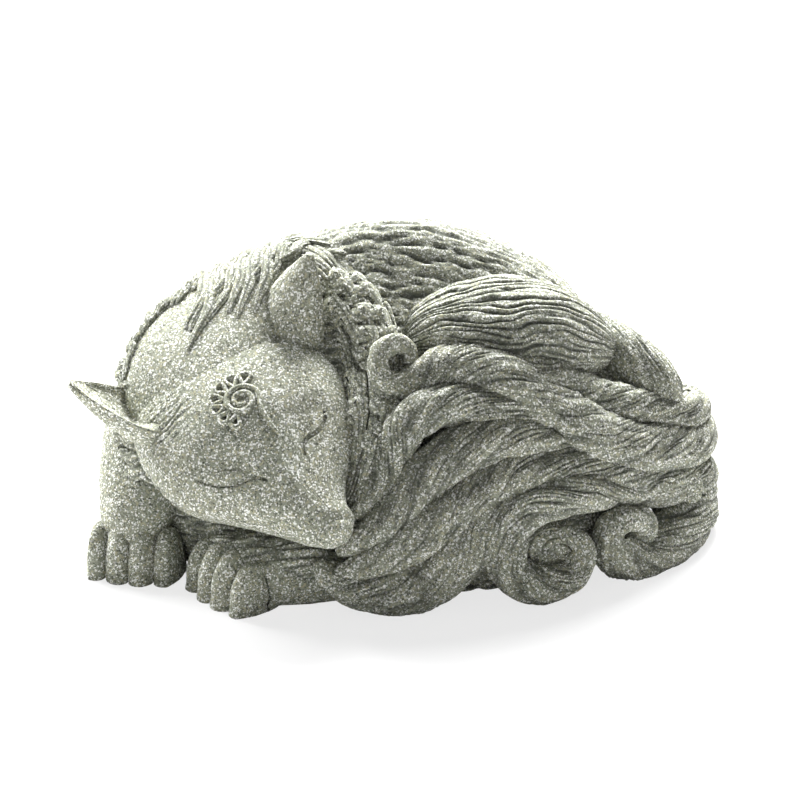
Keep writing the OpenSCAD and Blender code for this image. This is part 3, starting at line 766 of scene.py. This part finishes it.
def core(middle, radius, deep, seed):
    """The stone inside a curl, with strands that turn in to its middle."""
    t = np.linspace(0.02, 0.98, 50)
    wide = radius * np.sqrt(np.maximum(1 - t ** 2.6, 0.003))
    path = np.column_stack([middle[0] + 0 * t, middle[1] + 9 - (deep + 9) * t, middle[2] + 0 * t])
    path = np.column_stack([place(path), wide, wide])
    angles = np.linspace(0, 2 * math.pi, 150, endpoint=False)
    grid = loft(path, angles, place(middle) - np.array([0, 0, 40.0]))
    grain = Grain(seed)
    around = (angles[None, :] - 3.2 * t[:, None]) * radius * 0.6
    away = t[:, None] * radius + 0 * around
    depth = 1.5 * combed(grain, around, away, 2.6, 14) + grit(grain, grid, 0.1)
    # The pit in the curl's middle takes the full painted shade and grime of a groove in the stone colour
    pit = 2.5 * fade(t[:, None], 0.86, 0.98) + 0 * around
    return carve(grid, (depth + pit) * np.minimum(1, wide / radius * 1.6)[:, None], 2.2)


class FOX_OT_tails(FoxOperator, bpy.types.Operator):
    """Tail root and the nine curled tails, each a twisted bundle of strands"""
    bl_idname = "fox.tails"
    bl_label = "Tails"

    def execute(self, context):
        for number, node in enumerate(TAILS):
            cores = [core(*row, 50 + number) for row in CORES.get(node, ())]
            cover(node, tail_skin(node, Grain(40 + number)), *cores)
        return {"FINISHED"}


# Shares of its length at which a lock has its rings
LOCK_STEPS = np.linspace(0, 1, 22)
# Border of the smooth crown: [place along the ruff, share and angle of the face]
CROWN_EDGE = [[28, 0.18, 160], [45, 0.18, 150], [58, 0.18, 142], [70, 0.19, 132], [82, 0.21, 118],
              [95, 0.23, 104], [108, 0.22, 90], [120, 0.2, 76], [132, 0.17, 63], [142, 0.14, 54]]
# Curls over the crown's border: [first, last and step in the mantle's rings, width, drift, reach]
CROWN_CURLS = [[134, 214, 9, 6.6, -18, 0.62], [138, 214, 12, 5.2, -28, 0.5], [10, 134, 8, 5.2, -6, 0.14]]
# Locks on the ruff: [first, last and step along it, start angle, sweep, width, curl]
RUFF_LOCKS = [
    [2, 40, 7.5, 200, -80, 7, 5], [6, 40, 8, 150, -80, 7, 5], [2, 44, 7, 100, -70, 6.5, 5],
    [46, 100, 8, 100, -50, 5, 4], [50, 100, 9, 60, -50, 6, 4],
    [100, 150, 5.2, 66, 74, 6, -9], [104, 156, 6.2, 30, 64, 6.5, -7],
    [150, 246, 9, 205, -34, 7.4, 20], [154, 248, 8, 168, -40, 8, 22], [150, 248, 8, 130, -42, 8, 22],
    [154, 248, 8, 94, -38, 7.6, 20], [150, 246, 9, 60, -30, 7, 18]]


class FOX_OT_ruff(FoxOperator, bpy.types.Operator):
    """Neck ruff, a collar of overlapping locks round the back of the head"""
    bl_idname = "fox.ruff"
    bl_label = "Neck Ruff"

    def execute(self, context):
        grain = Grain(61)
        path, marks = route(RUFF_ROWS, RUFF_RADIUS, 0.9)
        angles = outer_angles(RUFF_SIDES)
        grid = loft(path, angles, PILE_HEART)
        across = marks[:, None] + 0 * angles[None, :]
        around = angles[None, :] * 14 + 0 * across
        sway = grain.wave(across / 22, around / 22, 1.1) * 3
        depth = 0.9 + 1.6 * combed(grain, around + sway, across, 2.8, 15)
        crown, sheet = self.mantle(path, marks, grain)
        shells = [carve(grid, depth, 2.5), crown]
        draw = np.random.default_rng(62).uniform
        for first, last, step, start, sweep, width, curl in RUFF_LOCKS:
            mark = first
            while mark < last:
                shells.append(self.tuft(path, marks, mark, start + draw(-16, 16), sweep * draw(0.7, 1.2),
                                        width * draw(0.7, 1.4), curl * draw(0.5, 1.4)))
                mark += step * draw(0.6, 1.7)
        for first, last, step, width, drift, reach in CROWN_CURLS:
            for mark in np.arange(first, last, step):
                shells.append(self.curl(sheet, mark + draw(-2, 2), width * draw(0.75, 1.25),
                                        drift * draw(0.5, 1.3), reach * draw(0.7, 1.3)))
        cover("neck_ruff", *shells)
        return {"FINISHED"}

    def mantle(self, path, marks, grain):
        """Smooth fur that carries the crown of the head over the ruff's near side."""
        face = FaceMap()
        edge = spline(CROWN_EDGE, 24)
        run, share, angle = edge.T
        row = np.stack([np.interp(run, marks, column) for column in path.T], axis=1)
        _, out, side = frames(row, PILE_HEART)
        turn = math.radians(102)
        ridge = row[:, :3] + side * (row[:, 3:4] * math.cos(turn)) + out * (row[:, 4:5] * math.sin(turn))
        start = face.at(share, angle, -0.5)
        early = 0.5 * (start + ridge) + np.array([-2.0, -1.5, 7.5])
        t = np.linspace(0, 1, 60)[None, :, None]
        sheet = (1 - t) ** 2 * start[:, None] + 2 * t * (1 - t) * early[:, None] + t ** 2 * ridge[:, None]
        ends = np.sin(math.pi * np.linspace(0.02, 0.98, len(run))) ** 0.25
        sheet = sheet - unit(early - row[:, :3])[:, None] * (7 * (1 - ends))[:, None, None]
        lining = sheet - unit(early - row[:, :3])[:, None] * (6 * np.sin(math.pi * (0.04 + 0.92 * t)))
        grid = np.concatenate([sheet, lining[:, ::-1]], axis=1)
        across = run[:, None] + 0 * grid[..., 0]
        along = np.r_[t[0, :, 0], t[0, ::-1, 0]][None, :] * 26 + 0 * across
        sway = grain.wave(across / 18, along / 18, 2.7) * 3
        near = fade(along, 16, 25) * (0.3 + 0.7 * fade(across, 84, 108))
        depth = (0.15 + 0.75 * near) * combed(grain, across + sway, along, 3.4, 12)
        return carve(grid, depth + grit(grain, grid, 0.3, 2.2), 1.7), sheet

    def curl(self, sheet, mark, width, drift, reach):
        """A lock that comes over the ridge and ends in a hook on the crown."""
        t = LOCK_STEPS
        down = (sheet.shape[1] - 1) * (1 - reach * t)
        along = mark + drift * (t ** 1.5 + 0.3 * np.sin(2.6 * math.pi * t) * t)
        spots = sample(sheet, along, down)
        shape = np.sin(math.pi * (0.12 + 0.84 * t)) ** 0.75
        middle = sheet.mean(axis=(0, 1)) - np.array([0, 0, 30.0])
        spots = spots + unit(spots - middle) * (0.4 * shape)[:, None]
        grid, flute = self.fluted(spots, 0.5 * width * shape, 0.42 * width * shape, shape, middle, 0.7)
        # Lower relief down the flutes gives them painted shade and grime in the stone colour
        return grid, 1 - 0.8 * flute

    def tuft(self, path, marks, mark, start, sweep, width, curl):
        """A curled lock that starts at an angle of the ruff, sweeps round it and ends in a point."""
        t = LOCK_STEPS
        turn = np.radians(start + sweep * t)
        run = mark + curl * (t ** 2 + 0.35 * np.sin(2.4 * math.pi * t) * t)
        row = np.stack([np.interp(run, marks, column) for column in path.T], axis=1)
        _, out, side = frames(path, PILE_HEART)
        near = np.clip(np.searchsorted(marks, run), 0, len(marks) - 1)
        swell = 1.0 * np.sin(math.pi * np.clip(t * 1.15, 0, 1)) - 1.2 + 1.1 * t ** 3
        rim = (side[near] * (np.cos(turn) * (row[:, 3] + swell))[:, None]
               + out[near] * (np.sin(turn) * (row[:, 4] + swell))[:, None])
        shape = np.sin(math.pi * (0.14 + 0.84 * t)) ** 0.8
        grid, flute = self.fluted(row[:, :3] + rim, 0.5 * width * shape, 0.34 * width * shape, shape,
                                  row[:, :3].mean(axis=0), 0.75)
        # Lower relief down the flutes, and at the lock's root where it meets the ruff, gives painted shade
        # and grime there
        return grid, 1 - 0.75 * flute - 0.3 * (t[:, None] < 0.14)

    def fluted(self, spots, wide, thick, shape, heart, deep):
        """A lock with six flutes along its spots, and how far each point lies down a flute."""
        turns = np.linspace(0, 2 * math.pi, 18, endpoint=False)
        grid = loft(np.column_stack([spots, wide, thick]), turns, heart)
        flute = 1 - np.abs(np.sin(turns * 3))[None, :] + 0 * shape[:, None]
        return grid - outward(grid) * (deep * flute * shape[:, None])[..., None], flute


# Lash lines of the closed eyes, as spots of share and angle of the face
RIGHT_LASH = [[0.59, 141], [0.622, 139], [0.65, 136], [0.668, 130], [0.681, 121], [0.699, 112], [0.725, 108]]
LEFT_LASH = [[0.545, 43], [0.566, 43.5], [0.6, 46.5], [0.619, 52], [0.633, 60], [0.661, 65], [0.69, 66]]


def lash_lines(share, angle):
    """1 on the two incised lines of the closed eyes, 0 beside them."""
    near = np.full(np.broadcast(share, angle).shape, 99.0)
    for s, a in np.concatenate([spline(RIGHT_LASH, 8), spline(LEFT_LASH, 8)]):
        near = np.minimum(near, np.hypot((share - s) * FaceMap.length, (angle - a) * 0.7))
    return np.clip(1 - near / 1.25, 0, 1) ** 0.6


def spread(share, angle, middle, reach, turn, swing):
    """Soft spot of the face, 1 in its middle and 0 past its reach in share and its swing in degrees."""
    away = (angle - turn + 180) % 360 - 180
    return fade(1 - np.hypot((share - middle) / reach, away / swing), 0, 1)


# Brow spiral: share of its middle, angle of its outer end, turns, radius and length of its tail
SWIRL_SHARE = 0.41
SWIRL_END = -40
SWIRL_TURNS = 2
SWIRL_REACH = 8
SWIRL_DROP = 16
# Degrees of angle on the face for a millimetre across the brow
BROW_SPREAD = 1.22
PETAL_TURNS = [math.radians(62 + (232 - 62) * petal / 6) for petal in range(7)]


def swirl_root(turn):
    """Radius of the spiral's outer turn, where a petal at this angle grows from it."""
    return SWIRL_REACH * (0.2 + 0.8 * (1 - (math.degrees(turn) - SWIRL_END) / 360 / SWIRL_TURNS))


# Nose pad rows [place along the muzzle, width share, height share]
NOSE_PROFILE = [[-7, 0.35, 0.3], [-5, 0.8, 0.7], [-1, 1, 0.85], [2, 0.8, 0.65], [3.5, 0.4, 0.3]]


class FOX_OT_head(FoxOperator, bpy.types.Operator):
    """Head with its closed face, and the nose pad"""
    bl_idname = "fox.head"
    bl_label = "Head and Nose"

    def execute(self, context):
        face = FaceMap()
        grain = Grain(71)
        share = np.linspace(-0.22, 1, 290)[:, None]
        angle = np.cumsum(1.6 - 1.0 * np.exp(-((np.arange(340) - 95) / 75) ** 2))
        angle = (angle * 360 / (angle[-1] + 1.6))[None, :]
        grid = face.at(share + 0 * angle, angle + 0 * share)
        grid = grid - outward(grid) * self.modelling(share, angle)[..., None]
        across = angle * 0.75 + 0 * share
        along = share * face.length + 0 * angle
        sway = grain.wave(across / 16, along / 16, 5.5) * 1.6
        depth = 0.22 * combed(grain, across + sway, along, 2.4, 9)
        ear_side = spread(share, angle, 0.3, 0.2, 138, 32)
        ear_side = np.maximum(ear_side, spread(share, angle, 0.12, 0.14, 52, 26))
        depth = depth + 1.5 * ear_side * combed(grain, along + sway, across, 2.8, 16)
        crown = 1 - fade(share, -0.02, 0.24)
        depth = depth + 0.9 * crown * combed(grain, across + sway, along, 3.0, 12)
        cheek = np.maximum(spread(share, angle, 0.42, 0.3, 188, 26), spread(share, angle, 0.4, 0.34, 4, 22))
        tuft, draw = grain.locks((across + 0.6 * along) / 6.5, (along - 0.6 * across) / 12)
        depth = depth + cheek * (1.9 * furrow(tuft, 1.9) + 0.5 * draw)
        depth = depth + 1.6 * lash_lines(share, angle) + 1.5 * self.petal_pits(share, angle)
        depth = depth + grit(grain, grid, 0.14, 1.4) + grit(grain, grid, 0.12, 2.8)
        cover("head", carve(grid, depth, 1.5))
        self.nose_pad(face, grain)
        return {"FINISHED"}

    def petal_pits(self, share, angle):
        """Small pits inside the petals of the brow spiral."""
        pits = 0
        for turn in PETAL_TURNS:
            root = swirl_root(turn) + 3.4
            x, y = root * math.cos(turn), root * math.sin(turn)
            gap = np.hypot((share - SWIRL_SHARE) * FaceMap.length + y, (90 - angle) / BROW_SPREAD - x)
            pits = pits + np.clip(1 - (gap / 1.9) ** 2, 0, 1)
        return pits

    def modelling(self, share, angle):
        """Hollows of the eyes and the bridge of the muzzle, as depths in millimetres."""
        sockets = spread(share, angle, 0.6, 0.14, 122, 26) + spread(share, angle, 0.58, 0.14, 54, 24)
        lids = spread(share, angle, 0.6, 0.07, 126, 20) + spread(share, angle, 0.58, 0.07, 52, 18)
        bridge = spread(share, angle, 0.72, 0.24, 90, 22)
        cheeks = spread(share, angle, 0.62, 0.2, 176, 24) + spread(share, angle, 0.62, 0.2, 8, 24)
        return 2.2 * sockets - 1.2 * lids - 1.2 * bridge - 1.4 * cheeks

    def nose_pad(self, face, grain):
        """A rounded block on the muzzle's end."""
        profile = spline(NOSE_PROFILE, 10)
        turn = np.linspace(0, 2 * math.pi, 72, endpoint=False)[None, :]
        half = 8.5
        spots = face.spot(1 + 0 * turn + 0 * profile[:, :1], profile[:, 1:2] * half * np.cos(turn),
                          1 + profile[:, 2:3] * half * np.sin(turn))
        grid = spots + face.nose * profile[:, 0][:, None, None]
        cover("nose", carve(grid, grit(grain, grid, 0.12, 1.5), 1.2))


# Ear rows [share of length, share of width] from below the root to the tip
EAR_PROFILE = [[-0.16, 0.9], [0.1, 1], [0.32, 0.96], [0.54, 0.78], [0.74, 0.54], [0.9, 0.28], [1, 0.1]]


def ear_grid(face, root, along, opening, length=45, width=38, hollow=10, wall=4.5, bend=5):
    """A cupped blade from its root to its tip, hollow on its open side."""
    profile = spline(EAR_PROFILE, 10)
    share, spread = profile[:, 0][:, None], profile[:, 1][:, None]
    heading = unit(np.array(along, float))
    open_way = np.array(opening, float)
    open_way = unit(open_way - (open_way @ heading) * heading)
    side = np.cross(open_way, heading)
    half = spread * width / 2
    thick = wall * (0.35 + 0.65 * spread)
    cup = hollow * spread
    outer = np.radians(np.linspace(180, 360, 60))[None, :]
    inner = np.radians(np.linspace(0, 180, 62)[1:-1])[None, :]
    dip = fade(share, 0.04, 0.4) * (1 - 0.5 * fade(share, 0.7, 1))
    back = (half * np.cos(outer), (cup + thick) * np.sin(outer))
    rim = np.clip(np.sin(inner) * 4, 0, 1) ** 0.6
    front = ((half - thick * 0.45 * rim) * np.cos(inner),
             thick * 0.45 * np.sin(inner) ** 0.3 + cup * np.sin(inner) * (0.35 - 1.25 * dip))
    x = np.concatenate([back[0], front[0]], axis=1)
    y = np.concatenate([back[1], front[1]], axis=1)
    middle = root + heading * share * length + face.crown * bend * share * np.abs(share)
    return middle[:, None] + side * x[..., None] + open_way * y[..., None]


class FOX_OT_ears(FoxOperator, bpy.types.Operator):
    """Both ears, each a cupped blade of stone"""
    bl_idname = "fox.ears"
    bl_label = "Ears"

    def execute(self, context):
        face = FaceMap()
        ears = {
            "right_ear": (face.at(0.2, 146, -14), (-0.93, -0.1, 0.36), (0.1, -0.02, 1)),
            "left_ear": (face.at(0.08, 25, -16), (0.3, -0.05, 0.95), (0.62, 0.78, 0)),
        }
        for number, (node, (root, along, opening)) in enumerate(ears.items()):
            grain = Grain(81 + number)
            grid = ear_grid(face, root, along, opening)
            sides = np.arange(grid.shape[1])[None, :] * 0.9 + 0 * grid[..., 0]
            marks = np.arange(grid.shape[0])[:, None] * 0.7 + 0 * sides
            depth = grit(grain, grid, 0.2, 1.5) + 0.5 * combed(grain, sides, marks, 2.6, 14)
            cover(node, carve(grid, depth, 1.5))
        return {"FINISHED"}


class FOX_OT_face(FoxOperator, bpy.types.Operator):
    """Closed eyelids and the traditional spiral with petals on the brow"""
    bl_idname = "fox.face"
    bl_label = "Eyelids and Brow Spiral"

    def execute(self, context):
        face = FaceMap()
        self.eyelid(face, "right_eyelid", 0.64, 128, -29, 91)
        self.eyelid(face, "left_eyelid", 0.62, 52, 36, 92)
        self.spiral(face)
        return {"FINISHED"}

    def eyelid(self, face, node, share, angle, tilt, seed):
        """A low dome along the closed eye."""
        u = np.linspace(-0.999, 0.999, 110)[:, None]
        a = np.linspace(0, 2 * math.pi, 72, endpoint=False)[None, :]
        fat = np.sqrt(np.maximum(0.001, 1 - u * u))
        along = u * 15 + 0 * a
        across = 4 * fat * np.cos(a)
        tilt = math.radians(tilt)
        share = share + (along * math.sin(tilt) + across * math.cos(tilt)) / face.length
        angle = angle + (along * math.cos(tilt) - across * math.sin(tilt)) * 1.5
        grid = face.at(share, angle, 0.7 * (fat * np.sin(a) + 0.12) - 1.2)
        depth = grit(Grain(seed), grid, 0.12, 1.5) + 1.8 * lash_lines(share, angle) * (np.sin(a) > 0)
        cover(node, carve(grid, depth, 1.2))

    def spiral(self, face):
        """The raised line of the spiral, its tail and its leaf-shaped petals."""
        def brow(x, y, lift):
            return face.at(SWIRL_SHARE - y / face.length, 90 - x * BROW_SPREAD, lift)

        def line(u):
            q = np.minimum(u, 1)
            a = np.radians(SWIRL_END + 360 * SWIRL_TURNS * (1 - q))
            tail = np.maximum(u - 1, 0) / 0.3
            r = SWIRL_REACH * (0.2 + 0.8 * q)
            return r * np.cos(a) + tail * SWIRL_DROP * 0.25 * tail, r * np.sin(a) - tail * SWIRL_DROP

        def tube(x, y, width, rise):
            dx, dy = np.gradient(x), np.gradient(y)
            size = np.hypot(dx, dy)
            a = np.linspace(0, 2 * math.pi, 20, endpoint=False)[None, :]
            w = width[:, None]
            return brow(x[:, None] - (dy / size)[:, None] * w * np.cos(a),
                        y[:, None] + (dx / size)[:, None] * w * np.cos(a), rise * np.sin(a) * (w / w.max()))

        u = np.linspace(0.02, 1.28, 150)
        taper = np.sin(math.pi * np.linspace(0.03, 0.97, 150)) ** 0.25
        shells = [(tube(*line(u), 1.3 * taper, 1.6),)]
        t = np.linspace(0, 1, 60)
        loop = np.sin(math.pi * t)
        swing = math.pi / 7 * 0.42 * np.sin(2 * math.pi * t)
        for turn in PETAL_TURNS:
            r = swirl_root(turn) + 7 * loop ** 0.8
            x, y = r * np.cos(turn + swing), r * np.sin(turn + swing)
            shells.append((tube(x, y, 0.85 + 0.25 * loop, 1.3),))
        cover("brow_swirl", *shells)


# Foreleg rows [x, y, z, radius share, radius share]
LEGS = {
    "right_foreleg": (21, (-60, -10, 0), [
        [-104, 6, 74, 0.6, 0.6], [-111, -8, 60, 0.9, 0.9], [-115, -22, 45, 1, 0.9],
        [-116, -34, 31, 0.95, 0.85], [-117, -43, 20, 0.8, 0.75], [-117, -49, 12, 0.5, 0.5]]),
    "left_foreleg": (16, (0, 0, -20), [
        [-14, -66, 10, 0.6, 0.6], [-30, -70, 10, 0.8, 0.75], [-46, -72, 10, 0.85, 0.8],
        [-60, -73, 10, 0.85, 0.8], [-72, -73, 10, 0.65, 0.65]]),
}
FOREARM_FUR_ROWS = [
    [-82, -64, 22, 0.4, 0.4], [-68, -70, 20, 0.9, 0.8], [-52, -74, 19, 1, 0.8], [-38, -76, 18, 1, 0.8],
    [-24, -76, 16, 0.6, 0.6]]
# Side view of a toe: forward share of the paw's length and share of its height, heel to sole
PAW_SIDE = [[-0.5, 0.1], [-0.42, 0.5], [-0.2, 0.88], [0.1, 1], [0.4, 0.9], [0.6, 0.55], [0.64, 0.2],
            [0.58, -0.1], [-0.44, -0.1]]
PAWS = {
    "right_paw": ((-117, -47, 0), (0.98, -0.2, 0), (-0.2, -0.98, 0)),
    "left_paw": ((-71, -70, 0), (0.66, -0.75, 0), (-0.75, -0.66, 0)),
}


def paw_grid(root, across, ahead, toes=4, toe_width=11, length=27, height=26, cleft=3.4):
    """A row of toes, drawn in at each cleft."""
    across, ahead = unit(np.array(across, float)), unit(np.array(ahead, float))
    profile = closed_spline(PAW_SIDE, 6)
    u = np.linspace(0, toes, toes * 26 + 1)
    lean = np.abs(u - toes / 2)
    fall = 1 - 0.1 * lean
    draw = 1.5 * cleft * (1 - np.abs(np.sin(math.pi * u)) ** 0.45)
    end = np.minimum(1, 0.35 + 1.1 * np.sqrt(np.minimum(u, toes - u)))
    forward = profile[None, :, 0] * length * fall[:, None] - np.sign(profile[None, :, 0]) * draw[:, None]
    up = profile[None, :, 1] * (height * fall - draw)[:, None] * end[:, None]
    middle = place(np.array([root], float))[0] + across * ((u - toes / 2) * toe_width)[:, None]
    return (middle[:, None] + ahead * (forward * end[:, None])[..., None]
            + np.array([0, 0, 1.0]) * np.maximum(up, -3)[..., None])


class FOX_OT_forelegs(FoxOperator, bpy.types.Operator):
    """Forelegs, toed paws and the fur that hangs from the forearm"""
    bl_idname = "fox.forelegs"
    bl_label = "Forelegs and Paws"

    def execute(self, context):
        for number, (node, (radius, heart, rows)) in enumerate(LEGS.items()):
            grain = Grain(101 + number)
            path, marks = route(rows, radius, 1.0)
            angles = outer_angles(LEG_SIDES, 0.2)
            grid = loft(path, angles, np.array(heart, float))
            across = angles[None, :] * radius + 0 * marks[:, None]
            along = marks[:, None] + 0 * across
            depth = lock_fur(grain, across + grain.on(grid, 14) * 3, along, 3.4, 14, 0.4)
            cover(node, carve(grid, depth + grit(grain, grid), 1.4))
        for number, (node, (root, across, ahead)) in enumerate(PAWS.items()):
            grain = Grain(111 + number)
            grid = paw_grid(root, across, ahead)
            cover(node, carve(grid, grit(grain, grid, 0.18) + grit(grain, grid, 0.15, 4), 1.4))
        grain = Grain(121)
        path, marks = route(FOREARM_FUR_ROWS, 11, 0.8)
        angles = outer_angles(LEG_SIDES)
        grid = loft(path, angles, PILE_HEART)
        across = angles[None, :] * 11 + 0 * marks[:, None]
        along = marks[:, None] + 0 * across
        depth = lock_fur(grain, across + along * 0.35, along, 5.0, 22, 1.8)
        cover("forearm_fur", carve(grid, depth, 2.2))
        return {"FINISHED"}


# Place that the camera looks at, on the clay figure
VIEW_TARGET = (0.0, 0.0, 61.0)
# Lamps: [place from the target, width], in metres
LAMPS = {"key": ((-0.95, 0.6, 0.7), 0.45), "top": ((0.2, 1.1, 1.1), 1.0), "fill": ((-0.5, -1.2, 0.6), 1.2)}
FLOOR_REACH = 3.0


class FOX_OT_stage(FoxOperator, bpy.types.Operator):
    """Pale floor, soft studio light and the camera"""
    bl_idname = "fox.stage"
    bl_label = "Stage"

    def execute(self, context):
        stage = context.scene.fox_stage
        context.scene.view_settings.view_transform = "Standard"
        target = Vector(place(VIEW_TARGET) * MM)
        self.camera(context, stage, target)
        for name, (away, size) in LAMPS.items():
            power = getattr(stage, name + "_power")
            self.lamp(context, name + "_light", target + Vector(away), target, size, power)
        self.floor(context, stage)
        self.surroundings(context, stage)
        return {"FINISHED"}

    def camera(self, context, stage, target):
        back = Vector((0, -math.cos(stage.elevation), math.sin(stage.elevation)))
        lens = bpy.data.cameras.new("photo_camera")
        lens.sensor_width = 36
        lens.lens = stage.lens
        camera = bpy.data.objects.new("photo_camera", lens)
        camera.location = target + back * stage.distance
        camera.rotation_euler = (-back).to_track_quat("-Z", "Y").to_euler()
        context.scene.collection.objects.link(camera)
        context.scene.camera = camera

    def lamp(self, context, name, spot, target, size, power):
        light = bpy.data.lights.new(name, "AREA")
        light.shape = "DISK"
        light.size = size
        light.energy = power
        lamp = bpy.data.objects.new(name, light)
        lamp.location = spot
        lamp.rotation_euler = (target - spot).to_track_quat("-Z", "Y").to_euler()
        context.scene.collection.objects.link(lamp)

    def floor(self, context, stage):
        mesh = bpy.data.meshes.new("pale_floor")
        signs = ((-1, -1), (1, -1), (1, 1), (-1, 1))
        mesh.from_pydata([(x * FLOOR_REACH, y * FLOOR_REACH, 0) for x, y in signs], [], [(0, 1, 2, 3)])
        floor = bpy.data.objects.new("pale_floor", mesh)
        context.scene.collection.objects.link(floor)
        material = bpy.data.materials.new("pale_floor")
        paint = Recipe(material)
        finish = {"Base Color": colour4(stage.floor_colour), "Roughness": 0.9, "Specular IOR Level": 0.1}
        surface = paint.node("BsdfPrincipled", {}, finish, "BSDF")
        white = paint.node("Emission", {}, {"Color": WHITE, "Strength": 1.0}, "Emission")
        seen = paint.node("LightPath", {}, {}, "Is Camera Ray")
        shown = paint.node("MixShader", {}, {0: seen * stage.floor_glow, 1: surface, 2: white})
        paint.node("OutputMaterial", {}, {"Surface": shown})
        mesh.materials.append(material)

    def surroundings(self, context, stage):
        """Plain white light all round, shown as white where it is seen."""
        world = bpy.data.worlds.new("studio")
        context.scene.world = world
        sky = Recipe(world)
        rays = sky.node("LightPath").socket.node.outputs
        seen = Value(sky, rays["Is Camera Ray"])
        for ray in ("Is Glossy Ray", "Is Transmission Ray"):
            seen = seen.math("MAXIMUM", seen, Value(sky, rays[ray]))
        light = sky.node("Background", {}, {"Color": WHITE, "Strength": stage.ambient})
        white = sky.node("Background", {}, {"Color": WHITE, "Strength": 1.0})
        both = sky.node("MixShader", {}, {0: seen, 1: light, 2: white})
        sky.node("OutputWorld", {}, {"Surface": both})


class FOX_PT_fox(bpy.types.Panel):
    """Lists the fox's pieces and their sizes in the sidebar"""
    bl_idname = "FOX_PT_fox"
    bl_label = "Stone Fox"
    bl_space_type = "VIEW_3D"
    bl_region_type = "UI"
    bl_category = "Stone Fox"

    def draw(self, context):
        column = self.layout.column()
        for operator in OPERATORS:
            column.operator(operator.bl_idname)
        for group in ("fox_fur", "fox_stone", "fox_stage"):
            settings = getattr(context.scene, group)
            box = self.layout.box()
            for name in type(settings).__annotations__:
                box.prop(settings, name)


OPERATORS = (FOX_OT_torso, FOX_OT_haunch, FOX_OT_tails, FOX_OT_ruff, FOX_OT_head, FOX_OT_ears, FOX_OT_face,
             FOX_OT_forelegs, FOX_OT_stage)
GROUPS = {"fox_fur": FoxFurSizes, "fox_stone": FoxStoneLooks, "fox_stage": FoxStageSizes}


def register():
    for name, group in GROUPS.items():
        bpy.utils.register_class(group)
        setattr(bpy.types.Scene, name, PointerProperty(type=group))
    for made in (*OPERATORS, FOX_PT_fox):
        bpy.utils.register_class(made)


def unregister():
    for made in reversed((*OPERATORS, FOX_PT_fox)):
        bpy.utils.unregister_class(made)
    for name, group in GROUPS.items():
        delattr(bpy.types.Scene, name)
        bpy.utils.unregister_class(group)


def main():
    register()
    bpy.ops.fox.torso()
    bpy.ops.fox.haunch()
    bpy.ops.fox.tails()
    bpy.ops.fox.ruff()
    bpy.ops.fox.head()
    bpy.ops.fox.ears()
    bpy.ops.fox.face()
    bpy.ops.fox.forelegs()
    bpy.ops.fox.stage()


if __name__ == "__main__":
    main()
